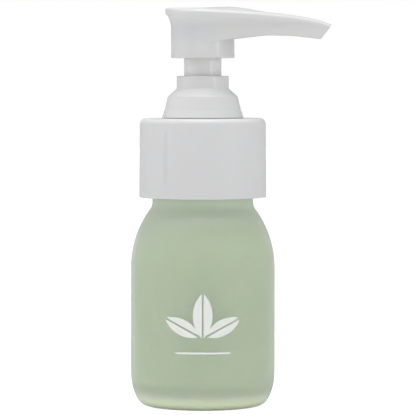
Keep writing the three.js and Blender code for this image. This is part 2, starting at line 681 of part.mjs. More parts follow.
// The head seen from the side: the arch under the spout, its slanted tip and the roof.
function headSideOutline(inset, roofRise) {
  const tipBottomZ = skirtBottomZ + SPOUT_TIP_TOP_RISE - SPOUT_TIP_HEIGHT;
  const tipBottomX = SPOUT_TIP_X - SPOUT_TIP_SETBACK;
  const archZ = skirtBottomZ + SPOUT_ARCH_RISE;
  const roof = roofLine(inset);
  const outline = new THREE.Shape();
  outline.moveTo(roof[0].x, tipBottomZ);
  outline.lineTo(SKIRT_RADIUS, tipBottomZ);
  outline.quadraticCurveTo((SKIRT_RADIUS + SPOUT_ARCH_X) / 2, archZ, SPOUT_ARCH_X, archZ);
  outline.quadraticCurveTo((tipBottomX + SPOUT_ARCH_X) / 2, archZ, tipBottomX, tipBottomZ);
  roof[roof.length - 1].x += (roofRise * SPOUT_TIP_SETBACK) / SPOUT_TIP_HEIGHT;
  roof.reverse().forEach((point) => outline.lineTo(point.x, point.y + roofRise));
  return outline;
}

// The space under the roof, whose top is crowned across the head and along it.
function crownedBlock() {
  const bottomZ = skirtBottomZ;
  const crownOf = (x) => {
    const share = Math.min(1, Math.abs(x - CROWN_CENTRE_X) / CROWN_HALF_LENGTH);
    return CROWN_HEIGHT * Math.cos((share * Math.PI) / 2) ** 2;
  };
  const line = [...roofLine(0)];
  const slope = (SPOUT_TIP_TOP_RISE - HEAD_RIM_HEIGHT) / SPOUT_TIP_X;
  line.push(new THREE.Vector2(SPOUT_TIP_X + 2, line[line.length - 1].y + 4 * slope));
  const rings = line.map(({ x, y: rimZ }) => {
    const ring = [
      new THREE.Vector3(x, HEAD_RIM_RADIUS, bottomZ),
      new THREE.Vector3(x, -HEAD_RIM_RADIUS, bottomZ),
    ];
    for (let i = 0; i <= CROWN_STEPS; i += 1) {
      const across = (2 * i) / CROWN_STEPS - 1;
      const z = rimZ + crownOf(x) * (1 - across * across);
      ring.push(new THREE.Vector3(x, across * HEAD_RIM_RADIUS, z));
    }
    return ring.reverse();
  });
  return skinOverRings(rings);
}

function slab(outline, halfWidth) {
  const geometry = new THREE.ExtrudeGeometry(outline, {
    depth: halfWidth * 2, bevelEnabled: false, curveSegments: ARC_STEPS * 3,
  });
  return geometry.rotateX(Math.PI / 2).translate(0, halfWidth, 0);
}

// The upper part of the head's outside: teardrop rings, flared at the back under the roof.
function headUpperSkin() {
  const rimZ = skirtBottomZ + HEAD_RIM_HEIGHT;
  const flareTopZ = rimZ - HEAD_RIM_THICKNESS;
  const flareBottomZ = flareTopZ - HEAD_FLARE_HEIGHT;
  const tipX = SPOUT_TIP_X + 1;
  const flare = HEAD_RIM_RADIUS - SKIRT_RADIUS;
  const levels = [
    [skirtBottomZ + BOSS_RISE, 0],
    [flareBottomZ, 0],
    [flareBottomZ + HEAD_FLARE_HEIGHT * 0.5, 0.17],
    [flareBottomZ + HEAD_FLARE_HEIGHT * 0.8, 0.48],
    [flareTopZ, 1],
    [rimZ + 1, 1],
  ];
  return skinOverRings(levels.map(([z, share]) => (
    headPlanRing(SKIRT_RADIUS + flare * share, tipX, SPOUT_TIP_HALF_WIDTH, z)
  )));
}

// The pocket in front of the skirt, open downwards on both sides of the flow tube.
function headPocket() {
  const tipX = SPOUT_TIP_X - SPOUT_TIP_SETBACK - SPOUT_SOLID_LENGTH;
  const bottomZ = skirtBottomZ + BOSS_RISE - HEAD_SIDE_WALL;
  const topZ = skirtBottomZ + HEAD_RIM_HEIGHT;
  const halfWidth = SPOUT_TIP_HALF_WIDTH - HEAD_SIDE_WALL * 0.75;
  const inner = toSolid(skinOverRings([bottomZ, topZ].map((z) => (
    headPlanRing(skirtInnerRadius, tipX, halfWidth, z)
  ))));
  const roofUnderside = headSideOutline(HEAD_ROOF_WALL, 0);
  const under = toSolid(slab(roofUnderside, HEAD_RIM_RADIUS * 2));
  const below = toSolid(new THREE.BoxGeometry(
    SPOUT_TIP_X * 2, HEAD_RIM_RADIUS * 4, SPOUT_ARCH_RISE,
  ).translate(SPOUT_TIP_X / 2, 0, skirtBottomZ + SPOUT_ARCH_RISE / 2 + CLEARANCE));
  const skirtCore = toSolid(rod(SKIRT_RADIUS, bottomZ - 1, topZ + 1, INNER_FACETS));
  return inner.intersect(under.add(below)).subtract(skirtCore);
}

function flowPath() {
  const axisZ = skirtBottomZ + FLOW_AXIS_RISE;
  const tipZ = skirtBottomZ + FLOW_TIP_RISE;
  return new THREE.QuadraticBezierCurve3(
    new THREE.Vector3(0, 0, axisZ),
    new THREE.Vector3(SPOUT_TIP_X * 0.6, 0, axisZ),
    new THREE.Vector3(SPOUT_TIP_X + 1, 0, tipZ - CLEARANCE),
  );
}

function alongFlow(radius) {
  const section = new THREE.Shape();
  section.absarc(0, 0, radius, 0, 2 * Math.PI, false);
  return toSolid(new THREE.ExtrudeGeometry(section, {
    extrudePath: flowPath(), steps: ROOF_STEPS, curveSegments: TUBE_FACETS / 2,
    bevelEnabled: false,
  }));
}

// The head: skirt, roof, spout, boss for the stem and the flow tube, in one moulding.
function makeHead() {
  const rimZ = skirtBottomZ + HEAD_RIM_HEIGHT;
  const roofZ = rimZ - HEAD_ROOF_WALL;
  const bossBottomZ = skirtBottomZ + BOSS_RISE;
  const profile = toSolid(slab(headSideOutline(0, CROWN_HEIGHT), HEAD_RIM_RADIUS * 2))
    .intersect(toSolid(crownedBlock()));
  const upper = toSolid(headUpperSkin()).intersect(profile);
  const skirt = toSolid(rod(SKIRT_RADIUS, skirtBottomZ, roofZ, INNER_FACETS));
  const skirtBore = toSolid(rod(skirtInnerRadius, skirtBottomZ - 1, roofZ, INNER_FACETS));
  const boss = toSolid(rod(bossBoreRadius + BOSS_WALL, bossBottomZ, roofZ + CLEARANCE, INNER_FACETS));
  const bossBore = toSolid(rod(bossBoreRadius, bossBottomZ - 1, stemTopZ, INNER_FACETS));
  const chamber = toSolid(rod(STEM_BORE_RADIUS, stemTopZ - 1, roofZ - CLEARANCE, TUBE_FACETS));
  const tube = alongFlow(FLOW_TUBE_RADIUS).intersect(profile);
  const tubeBore = alongFlow(FLOW_BORE_RADIUS);
  const shell = upper.add(skirt).subtract(skirtBore).subtract(headPocket());
  const joined = shell.add(boss).add(tube);
  return toGeometry(joined.subtract(bossBore).subtract(chamber).subtract(tubeBore));
}

const frostedGlass = new THREE.MeshStandardMaterial({
  color: 0xc4d2be, roughness: 0.45, metalness: 0, transparent: true, opacity: 0.5,
});
const paleGel = new THREE.MeshStandardMaterial({ color: 0xa8bca2, roughness: 0.3, metalness: 0 });
const springSteel = new THREE.MeshStandardMaterial({ color: 0xb9bcc0, roughness: 0.3, metalness: 1 });
const ballSteel = new THREE.MeshStandardMaterial({ color: 0xc8cbcf, roughness: 0.15, metalness: 1 });

const bottle = new THREE.Group();
bottle.add(namedMesh('bottle', makeBottle(), frostedGlass));
bottle.add(namedMesh('gel_fill', makeGel(), paleGel));

const pump = new THREE.Group();
pump.add(namedMesh('collar', makeCollar(), plastic(0xd8d9da, 0.4)));
pump.add(namedMesh('neck_gasket', makeGasket(), plastic(0xc9c9c4, 0.8)));
pump.add(namedMesh('housing', makeHousing(), plastic(0xe4e6e2, 0.5)));
pump.add(namedMesh('chaplet', makeChaplet(), plastic(0xdcddde, 0.35)));
pump.add(namedMesh('dip_tube', makeDipTube(), plastic(0xdfe5de, 0.4)));
pump.add(namedMesh('inlet_ball', makeInletBall(), ballSteel));
pump.add(namedMesh('spring', makeSpring(), springSteel));
pump.add(namedMesh('piston_seat', makePistonSeat(), plastic(0xe6e7e4, 0.5)));
pump.add(namedMesh('piston', makePiston(), plastic(0xcfd6d2, 0.6)));
pump.add(namedMesh('stem', makeStem(), plastic(0xd6d7d8, 0.35)));
pump.add(namedMesh('head', makeHead(), plastic(0xd6d7d8, 0.35)));

const dispenser = new THREE.Group();
dispenser.add(bottle);
dispenser.add(pump);

export default dispenser;
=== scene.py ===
"""Looks of a small frosted glass bottle of gel toothpaste with a press-down pump.

Lengths are metres, and a field that ends in _mm is millimetres. The bottle stands
on the floor at the origin, and the spout points along +X.
"""

import logging
import math
from dataclasses import dataclass, field
from enum import Enum

import bmesh
import bpy
from mathutils import Matrix, Vector


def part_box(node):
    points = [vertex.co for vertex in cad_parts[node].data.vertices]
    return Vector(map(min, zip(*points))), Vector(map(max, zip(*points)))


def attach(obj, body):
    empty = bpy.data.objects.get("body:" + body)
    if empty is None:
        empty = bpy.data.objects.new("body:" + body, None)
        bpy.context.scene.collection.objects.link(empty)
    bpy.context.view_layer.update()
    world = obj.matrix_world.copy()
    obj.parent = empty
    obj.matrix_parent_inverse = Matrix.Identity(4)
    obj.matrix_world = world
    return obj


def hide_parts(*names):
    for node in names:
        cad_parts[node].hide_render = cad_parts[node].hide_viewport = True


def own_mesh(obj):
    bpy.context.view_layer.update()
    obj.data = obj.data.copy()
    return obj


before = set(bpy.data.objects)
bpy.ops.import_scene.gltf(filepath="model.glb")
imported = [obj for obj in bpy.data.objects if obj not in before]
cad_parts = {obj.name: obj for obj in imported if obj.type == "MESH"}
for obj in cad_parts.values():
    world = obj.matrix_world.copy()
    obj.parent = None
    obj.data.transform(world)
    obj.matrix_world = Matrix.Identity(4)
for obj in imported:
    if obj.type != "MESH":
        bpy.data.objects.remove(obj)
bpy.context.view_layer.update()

MM = 0.001
MERGE_DISTANCE = 2e-6
SMOOTH_ANGLE = math.radians(32)
MOST_OF_EDGE = 0.49
NOISE_SPAN = (0.3, 0.7)
# The usual roundings of moulded edges
SHARP_MM = 0.1
FINE_MM = 0.2
SOFT_MM = 0.3
LOG = logging.getLogger("toothpaste_bottle")

Point = tuple[float, float]
Number = bpy.types.NodeSocket | float
Rgb = tuple[float, float, float]
Colour = bpy.types.NodeSocket | Rgb


class Body(Enum):
    """The bodies that the pieces made here ride on."""

    BOTTLE = "bottle"
    PUMP = "pump"
    COLLAR = "collar"
    HEAD = "head"


class Turn(Enum):
    """How many steps a turned piece takes round the axis."""

    FINE = 120
    PLAIN = 96
    SMALL = 48


# Working with Blender's own modelling tools


def deselect_all() -> None:
    """Leave edit mode and select nothing, so that an operator finds only its own piece."""
    if bpy.context.mode != "OBJECT":
        bpy.ops.object.mode_set(mode="OBJECT")
    bpy.ops.object.select_all(action="DESELECT")


def make_active(piece: bpy.types.Object) -> None:
    """Select one piece and make it the active one."""
    deselect_all()
    piece.select_set(True)
    bpy.context.view_layer.objects.active = piece


def settle(piece: bpy.types.Object, name: str) -> bpy.types.Object:
    """Name a piece and move its place into its mesh.

    Args:
        piece: The object to settle.
        name: Its new name.

    Returns:
        The same object, at the origin, unturned and unscaled.
    """
    make_active(piece)
    bpy.ops.object.transform_apply(location=True, rotation=True, scale=True)
    piece.name = name
    piece.data.name = name
    return piece


def close_and_face_outwards(piece: bpy.types.Object) -> None:
    """Merge doubled points and point every face outwards."""
    make_active(piece)
    bpy.ops.object.mode_set(mode="EDIT")
    bpy.ops.mesh.select_all(action="SELECT")
    bpy.ops.mesh.remove_doubles(threshold=MERGE_DISTANCE)
    bpy.ops.mesh.dissolve_degenerate(threshold=MERGE_DISTANCE)
    bpy.ops.mesh.normals_make_consistent(inside=False)
    bpy.ops.object.mode_set(mode="OBJECT")


def smooth(piece: bpy.types.Object) -> None:
    """Shade a piece smooth, with its hard edges kept."""
    make_active(piece)
    bpy.ops.object.shade_smooth_by_angle(angle=SMOOTH_ANGLE)


def boolean(piece: bpy.types.Object, tool: bpy.types.Object, operation: str) -> None:
    """Join a tool to a piece or cut it away, and remove the tool.

    Args:
        piece: The object that is kept.
        tool: The object that is used up.
        operation: UNION or DIFFERENCE.
    """
    make_active(piece)
    modifier = piece.modifiers.new("Boolean", "BOOLEAN")
    modifier.object = tool
    modifier.operation = operation
    modifier.solver = "EXACT"
    bpy.ops.object.modifier_apply(modifier=modifier.name)
    bpy.data.objects.remove(tool)


def join(pieces: list[bpy.types.Object], name: str) -> bpy.types.Object:
    """Join several closed shells into one piece.

    Args:
        pieces: The shells, of which the first is kept.
        name: The piece's name.

    Returns:
        The joined piece.
    """
    deselect_all()
    for piece in pieces:
        piece.select_set(True)
    bpy.context.view_layer.objects.active = pieces[0]
    bpy.ops.object.join()
    return settle(pieces[0], name)


def arc(centre: Point, radius: float, start: float, end: float, steps: int) -> list[Point]:
    """Points along a circular arc.

    Args:
        centre: The arc's centre, as (radius, height).
        radius: The arc's radius.
        start: The first angle in radians.
        end: The last angle in radians.
        steps: How many chords the arc has.

    Returns:
        The points, both ends included.
    """
    angles = [start + (end - start) * i / steps for i in range(steps + 1)]
    return [(centre[0] + radius * math.cos(a), centre[1] + radius * math.sin(a)) for a in angles]


def rounded(corners: list[tuple[float, float, float]], steps: int) -> list[Point]:
    """A closed half section, off the axis, whose corners are rounded.

    Args:
        corners: Each corner as (radius, height, rounding).
        steps: How many chords each rounding has.

    Returns:
        The section's points in order, the first one again at the end.
    """
    count = len(corners)
    points: list[Point] = []
    for i, (x, z, rounding) in enumerate(corners):
        if rounding == 0:
            points.append((x, z))
            continue
        here = Vector((x, z))
        back = Vector(corners[i - 1][:2]) - here
        ahead = Vector(corners[(i + 1) % count][:2]) - here
        half = back.angle(ahead) / 2
        reach = min(
            rounding / math.tan(half), back.length * MOST_OF_EDGE, ahead.length * MOST_OF_EDGE
        )
        radius = reach * math.tan(half)
        centre = here + (back.normalized() + ahead.normalized()).normalized() * radius / math.sin(half)
        first = here + back.normalized() * reach - centre
        last = here + ahead.normalized() * reach - centre
        sweep = first.angle_signed(last)
        for step in range(steps + 1):
            spoke = first.copy()
            spoke.rotate(Matrix.Rotation(-sweep * step / steps, 2))
            points.append(tuple(centre + spoke))
    points.append(points[0])
    return points


def turned(name: str, outline: list[Point], turn: Turn) -> bpy.types.Object:
    """Spin a half section about the bottle's axis.

    A plane is merged to one point, extruded along the section and spun right round.

    Args:
        name: The piece's name.
        outline: The half section as (radius, height) points in millimetres.
        turn: How finely it is turned.

    Returns:
        The closed piece.
    """
    deselect_all()
    points = [Vector((radius * MM, 0, height * MM)) for radius, height in outline]
    bpy.ops.mesh.primitive_plane_add(size=MM, location=points[0])
    piece = bpy.context.object
    bpy.ops.object.mode_set(mode="EDIT")
    bpy.ops.mesh.select_all(action="SELECT")
    bpy.ops.mesh.merge(type="CENTER")
    for here, there in zip(points, points[1:]):
        bpy.ops.mesh.extrude_region_move(TRANSFORM_OT_translate={"value": there - here})
    bpy.ops.mesh.select_all(action="SELECT")
    bpy.ops.mesh.spin(
        steps=turn.value, angle=math.tau, center=(0, 0, 0), axis=(0, 0, 1), use_auto_merge=True
    )
    bpy.ops.object.mode_set(mode="OBJECT")
    settle(piece, name)
    close_and_face_outwards(piece)
    return piece


def drawn_through(name: str, rings: list[list[Vector]], capped: bool) -> bpy.types.Object:
    """Extrude a ring of points from station to station.

    A circle is shaped to the first ring, and each extrusion is shaped to the next one.

    Args:
        name: The piece's name.
        rings: The stations, each with the same number of points, in metres.
        capped: Whether the first and last ring are filled with a face. Without that, they
            are the same ring.

    Returns:
        The closed piece.
    """
    deselect_all()
    bpy.ops.mesh.primitive_circle_add(vertices=len(rings[0]), radius=MM, fill_type="NOTHING")
    piece = bpy.context.object
    bpy.ops.object.mode_set(mode="EDIT")
    mesh = bmesh.from_edit_mesh(piece.data)
    place = mesh.verts.layers.int.new("place")
    for i, vertex in enumerate(mesh.verts):
        vertex[place] = i
        vertex.co = rings[0][i]
    bmesh.update_edit_mesh(piece.data)
    for k, ring in enumerate(rings):
        if k > 0:
            bpy.ops.mesh.extrude_region_move(TRANSFORM_OT_translate={"value": (0, 0, MM)})
            mesh = bmesh.from_edit_mesh(piece.data)
            place = mesh.verts.layers.int["place"]
            for vertex in mesh.verts:
                if vertex.select:
                    vertex.co = ring[vertex[place]]
            bmesh.update_edit_mesh(piece.data)
        if capped and k in (0, len(rings) - 1):
            bpy.ops.mesh.edge_face_add()
        if capped and k == 0:
            leave_cap(piece)
    bpy.ops.object.mode_set(mode="OBJECT")
    settle(piece, name)
    close_and_face_outwards(piece)
    return piece


def leave_cap(piece: bpy.types.Object) -> None:
    """Select the first cap's edges alone, so that the next extrusion leaves the cap there."""
    mesh = bmesh.from_edit_mesh(piece.data)
    for face in mesh.faces:
        face.select_set(False)
    for edge in mesh.edges:
        edge.select_set(True)
    bmesh.update_edit_mesh(piece.data)


@dataclass(frozen=True)
class Thread:
    """A right-hand thread ridge that fades out at both ends."""

    root_radius_mm: float
    depth_mm: float
    root_mm: float
    crest_mm: float
    start_mm: float
    pitch_mm: float = 4.23
    turns: float = 1.5
    sink_mm: float = 0.4
    end_sink_mm: float = 0.05
    fade: float = 0.08
    steps_per_turn: int = 72

    def build(self, name: str) -> bpy.types.Object:
        """Make the ridge as a closed piece, a little sunk into its wall.

        Args:
            name: The ridge's name.

        Returns:
            The ridge, outwards for a positive depth and inwards for a negative one.
        """
        side = math.copysign(1, self.depth_mm)
        steps = int(self.steps_per_turn * self.turns)
        rings = []
        for i in range(steps + 1):
            share = i / steps
            fade = min(1.0, share / self.fade, (1 - share) / self.fade)
            angle = math.tau * self.turns * share
            middle = self.start_mm + self.pitch_mm * self.turns * share
            foot = self.root_radius_mm - side * self.sink_mm
            crest = (
                self.root_radius_mm + self.depth_mm * fade - side * self.end_sink_mm * (1 - fade)
            )
            ring = []
            for radius, rise in (
                (foot, -self.root_mm / 2), (crest, -self.crest_mm / 2),
                (crest, self.crest_mm / 2), (foot, self.root_mm / 2),
            ):
                ring.append(
                    Vector((radius * math.cos(angle), radius * math.sin(angle), middle + rise)) * MM
                )
            rings.append(ring)
        return drawn_through(name, rings, True)


# Finishes


class Nodes:
    """A node tree, with short ways to add what the finishes and the surround share."""

    def __init__(self, tree: bpy.types.NodeTree) -> None:
        """Take a tree and add the place that its patterns lie on.

        Args:
            tree: The tree of a material or a world.
        """
        self.tree = tree
        self.place = tree.nodes.new("ShaderNodeTexCoord")

    def feed(self, place: bpy.types.NodeSocket, value: Number | Colour) -> None:
        """Give an input a node's output or a plain value."""
        if isinstance(value, bpy.types.NodeSocket):
            self.tree.links.new(value, place)
        else:
            place.default_value = value

    def noise(self, scale: float, detail: float = 3.0) -> bpy.types.NodeSocket:
        """A cloud of noise on the piece's own place.

        Args:
            scale: How many clouds there are to a metre.
            detail: How many finer layers it has.

        Returns:
            The noise's value, about a half on average.
        """
        node = self.tree.nodes.new("ShaderNodeTexNoise")
        node.inputs["Scale"].default_value = scale
        node.inputs["Detail"].default_value = detail
        self.tree.links.new(self.place.outputs["Object"], node.inputs["Vector"])
        return node.outputs["Fac"]

    def spread(
        self, value: bpy.types.NodeSocket, span: Point, low: Number, high: Number,
        kind: str = "LINEAR",
    ) -> bpy.types.NodeSocket:
        """Go from one value to another over a span, and stay there outside it.

        Args:
            value: What is spread.
            span: Where it starts and where it ends.
            low: The result at the start.
            high: The result at the end.
            kind: The way between them, LINEAR or SMOOTHSTEP.

        Returns:
            The result.
        """
        node = self.tree.nodes.new("ShaderNodeMapRange")
        node.interpolation_type = kind
        names = ("Value", "From Min", "From Max", "To Min", "To Max")
        for name, item in zip(names, (value, *span, low, high)):
            self.feed(node.inputs[name], item)
        return node.outputs["Result"]

    def between(
        self, noise: bpy.types.NodeSocket, low: float, high: float
    ) -> bpy.types.NodeSocket:
        """Spread a cloud of noise between two numbers."""
        return self.spread(noise, NOISE_SPAN, low, high)

    def parts(self, output: str = "Object") -> tuple[bpy.types.NodeSocket, ...]:
        """The X, Y and Z of the place on the piece, or of another kind of place."""
        node = self.tree.nodes.new("ShaderNodeSeparateXYZ")
        self.tree.links.new(self.place.outputs[output], node.inputs["Vector"])
        return tuple(node.outputs)

    def seen(self) -> bpy.types.NodeSocket:
        """One for what the camera sees, also through glass, and nought for any other ray."""
        path = self.tree.nodes.new("ShaderNodeLightPath")
        return self.math(
            "MAXIMUM", path.outputs["Is Camera Ray"], path.outputs["Is Transmission Ray"]
        )

    def math(self, operation: str, *values: Number) -> bpy.types.NodeSocket:
        """Work out one sum of node outputs or plain numbers.

        Args:
            operation: The sum's name, such as ADD.
            values: What it is worked out from.

        Returns:
            The result.
        """
        node = self.tree.nodes.new("ShaderNodeMath")
        node.operation = operation
        for place, value in zip(node.inputs, values):
            self.feed(place, value)
        return node.outputs["Value"]

    def times(self, one: Number, other: Number) -> bpy.types.NodeSocket:
        """Multiply two values."""
        return self.math("MULTIPLY", one, other)

    def blend(
        self, share: bpy.types.NodeSocket, low: Colour, high: Colour
    ) -> bpy.types.NodeSocket:
        """Mix two colours, either of which may be a node's output.

        Args:
            share: From 0 for the first to 1 for the second.
            low: The first colour.
            high: The second colour.

        Returns:
            The mixed colour.
        """
        node = self.tree.nodes.new("ShaderNodeMix")
        node.data_type = "RGBA"
        ends = [socket for socket in node.inputs if socket.type == "RGBA"]
        for place, colour in zip(ends, (low, high)):
            plain = isinstance(colour, tuple)
            self.feed(place, (*colour, 1) if plain else colour)
        self.feed(node.inputs["Factor"], share)
        return next(socket for socket in node.outputs if socket.type == "RGBA")


class Finish(Nodes):
    """The start of every finish: a Principled shader with its nodes around it."""

    def __init__(self, name: str) -> None:
        """Make an empty material.

        Args:
            name: The material's name.
        """
        self.material = bpy.data.materials.new(name)
        self.material.use_nodes = True
        super().__init__(self.material.node_tree)
        self.shader = self.tree.nodes["Principled BSDF"]

    def set(self, **values: object) -> None:
        """Set sockets of the shader by name, with underscores for spaces."""
        for key, value in values.items():
            self.shader.inputs[key.replace("_", " ")].default_value = value

    def wire(self, socket: bpy.types.NodeSocket, name: str) -> None:
        """Join a node's output to one of the shader's inputs."""
        self.tree.links.new(socket, self.shader.inputs[name])

    def bump(self, height: bpy.types.NodeSocket, strength: float, distance: float) -> None:
        """Raise the surface a little by a value.

        Args:
            height: The value that raises it.
            strength: How much of the bump shows.
            distance: The height of the bump in metres.
        """
        node = self.tree.nodes.new("ShaderNodeBump")
        node.inputs["Strength"].default_value = strength
        node.inputs["Distance"].default_value = distance
        self.tree.links.new(height, node.inputs["Height"])
        self.tree.links.new(node.outputs["Normal"], self.shader.inputs["Normal"])


@dataclass(frozen=True)
class MouldedPlastic:
    """White moulded plastic, with the faint unevenness of its surface."""

    name: str
    colour: Rgb
    roughness: float
    glow: float = 0.05
    glow_depth: float = 0.002
    grain: float = 0.04
    grain_height: float = 0.00002
    grain_scale: float = 2600
    cloud_scale: float = 90
    cloud_gain: float = 1.008
    patch_scale: float = 260
    patch_spread: float = 0.015

    def build(self) -> bpy.types.Material:
        """Make the material."""
        finish = Finish(self.name)
        lighter = tuple(min(1.0, c * self.cloud_gain) for c in self.colour)
        cloud = finish.noise(self.cloud_scale, 2)
        finish.wire(finish.blend(finish.between(cloud, 0, 1), self.colour, lighter), "Base Color")
        low, high = self.roughness - self.patch_spread, self.roughness + self.patch_spread
        finish.wire(finish.between(finish.noise(self.patch_scale), low, high), "Roughness")
        finish.bump(finish.noise(self.grain_scale, 1), self.grain, self.grain_height)
        finish.set(IOR=1.5, Subsurface_Weight=self.glow, Subsurface_Scale=self.glow_depth)
        return finish.material


@dataclass(frozen=True)
class Leaf:
    """One pointed leaf of the print: where two equal discs overlap."""

    centre_x: float
    centre_z: float
    lean: float
    half_length: float
    half_width: float

    def mask(self, finish: Finish, place: bpy.types.NodeSocket, rib: float) -> bpy.types.NodeSocket:
        """One inside the leaf and nought outside it and along its middle rib.

        Args:
            finish: The finish that the nodes belong to.
            place: The place on the front, with its Y left out.
            rib: The width of the rib in metres.

        Returns:
            The mask.
        """
        radius = (self.half_length**2 + self.half_width**2) / (2 * self.half_width)
        offset = radius - self.half_width
        away = []
        for side in (-1, 1):
            node = finish.tree.nodes.new("ShaderNodeVectorMath")
            node.operation = "DISTANCE"
            node.inputs[1].default_value = (
                self.centre_x + side * offset * math.cos(self.lean), 0,
                self.centre_z - side * offset * math.sin(self.lean),
            )
            finish.tree.links.new(place, node.inputs[0])
            away.append(node.outputs["Value"])
        inside = finish.times(*(finish.math("LESS_THAN", one, radius) for one in away))
        apart = finish.math("ABSOLUTE", finish.math("SUBTRACT", *away))
        return finish.times(inside, finish.math("GREATER_THAN", apart, rib))


@dataclass(frozen=True)
class SprigPrint:
    """A sprig of three mint leaves over a thin rule, printed white on the front."""

    leaves: tuple[Leaf, ...] = (
        Leaf(centre_x=0, centre_z=0.0256, lean=0, half_length=0.0062, half_width=0.0026),
        Leaf(
            centre_x=-0.0054, centre_z=0.0225, lean=math.radians(-62),
            half_length=0.0052, half_width=0.0021,
        ),
        Leaf(
            centre_x=0.0054, centre_z=0.0225, lean=math.radians(62),
            half_length=0.0052, half_width=0.0021,
        ),
    )
    rib: float = 0.0004
    rule_half: float = 0.0072
    rule_z: float = 0.0157
    rule_thickness: float = 0.0005
    front: float = -0.012
    skin: float = 0.0187

    def mask(self, finish: Finish) -> bpy.types.NodeSocket:
        """One where the print lies and nought elsewhere.

        Args:
            finish: The finish that the nodes belong to.

        Returns:
            The mask.
        """
        x, y, z = finish.parts()
        flat = finish.tree.nodes.new("ShaderNodeCombineXYZ")
        finish.tree.links.new(x, flat.inputs["X"])
        finish.tree.links.new(z, flat.inputs["Z"])
        above_rule = finish.math("ABSOLUTE", finish.math("SUBTRACT", z, self.rule_z))
        ink = finish.times(
            finish.math("LESS_THAN", finish.math("ABSOLUTE", x), self.rule_half),
            finish.math("LESS_THAN", above_rule, self.rule_thickness / 2),
        )
        for leaf in self.leaves:
            ink = finish.math("MAXIMUM", ink, leaf.mask(finish, flat.outputs["Vector"], self.rib))
        across = finish.math("SQRT", finish.math("ADD", finish.times(x, x), finish.times(y, y)))
        ink = finish.times(ink, finish.math("GREATER_THAN", across, self.skin))
        return finish.times(ink, finish.math("LESS_THAN", y, self.front))


@dataclass(frozen=True)
class FrostedGlass:
    """Acid-etched glass: a fine matt skin, milkier at the thick base and neck. That extra milk is
    partly the thicker glass and partly painted light, which lifts the neck out of the collar's shade
    and the base out of its shadow on the floor.
    """

    name: str = "frosted_glass"
    base_colour: Rgb = (0.86, 0.95, 0.69)
    wall_colour: Rgb = (0.92, 0.98, 0.86)
    # The greener neck colour keeps the gel's tint in the milkier neck, whose extra milk is painted
    # light against the collar's shade.
    neck_colour: Rgb = (0.82, 0.94, 0.74)
    ink_colour: Rgb = (0.97, 1.0, 0.96)
    cloud_scale: float = 120
    smoothest: float = 0.39
    roughest: float = 0.47
    etch_scale: float = 9000
    etch_strength: float = 0.12
    etch_height: float = 0.00001
    clear: float = 0.68
    milk: float = 0.5
    milk_depth: float = 0.003
    sheen: float = 0.8
    sheen_roughness: float = 0.35
    # Partly painted light: the thick base lets almost nothing through, so it stays light in its own
    # shadow on the floor.
    base_share: float = 0.08
    base_span: Point = (0.0016, 0.0058)
    # Partly painted light: the neck lets less through and turns milkier, which lifts it out of the
    # shade under the collar.
    neck_share: float = 0.26
    neck_span: Point = (0.0540, 0.0470)

    def build(self) -> bpy.types.Material:
        """Make the material."""
        finish = Finish(self.name)
        cloud = finish.noise(self.cloud_scale)
        finish.wire(finish.between(cloud, self.smoothest, self.roughest), "Roughness")
        height = finish.parts()[2]
        above_base = finish.spread(height, self.base_span, 0, 1, "SMOOTHSTEP")
        below_neck = finish.spread(height, self.neck_span, 0, 1, "SMOOTHSTEP")
        bare = finish.math("SUBTRACT", 1, SprigPrint().mask(finish))
        colour = finish.blend(above_base, self.base_colour, self.wall_colour)
        colour = finish.blend(below_neck, self.neck_colour, colour)
        colour = finish.blend(bare, self.ink_colour, colour)
        # Less clear, so milkier and lighter, at the base and the neck: partly thicker glass, partly
        # painted light against the shade there.
        clear = finish.times(
            finish.spread(above_base, (0, 1), self.clear * self.base_share, self.clear),
            finish.spread(below_neck, (0, 1), self.neck_share, 1),
        )
        finish.wire(colour, "Base Color")
        finish.wire(finish.times(clear, bare), "Transmission Weight")
        finish.wire(finish.times(bare, self.milk), "Subsurface Weight")
        finish.bump(finish.noise(self.etch_scale, 2), self.etch_strength, self.etch_height)
        finish.set(
            IOR=1.5, Subsurface_Scale=self.milk_depth, Sheen_Weight=self.sheen,
            Sheen_Roughness=self.sheen_roughness, Sheen_Tint=(1, 1, 1, 1),
        )
        return finish.material


@dataclass(frozen=True)
class Gel:
    """Cloudy pale green gel."""

    name: str = "gel"
    colour: Rgb = (0.50, 0.60, 0.40)
    deeper: Rgb = (0.47, 0.58, 0.37)
    cloud_scale: float = 70
    ripple_scale: float = 300
    smoothest: float = 0.3
    roughest: float = 0.4
    glow: float = 0.35
    glow_depth: float = 0.006
    glow_colour: Rgb = (0.8, 1.0, 0.7)

    def build(self) -> bpy.types.Material:
        """Make the material."""
        finish = Finish(self.name)
        cloud = finish.noise(self.cloud_scale, 4)
        finish.wire(finish.blend(finish.between(cloud, 0, 1), self.deeper, self.colour), "Base Color")
        ripple = finish.noise(self.ripple_scale, 2)
        finish.wire(finish.between(ripple, self.smoothest, self.roughest), "Roughness")
        finish.set(
            IOR=1.4, Subsurface_Weight=self.glow, Subsurface_Scale=self.glow_depth,
            Subsurface_Radius=self.glow_colour,
        )
        return finish.material


@dataclass(frozen=True)
class Metal:
    """Bright steel, drawn or polished unevenly."""

    name: str
    colour: Rgb = (0.62, 0.63, 0.65)
    smoothest: float = 0.17
    roughest: float = 0.30
    grain_scale: float = 2500

    def build(self) -> bpy.types.Material:
        """Make the material."""
        finish = Finish(self.name)
        grain = finish.noise(self.grain_scale, 2)
        finish.wire(finish.between(grain, self.smoothest, self.roughest), "Roughness")
        finish.set(Base_Color=(*self.colour, 1), Metallic=1.0)
        return finish.material


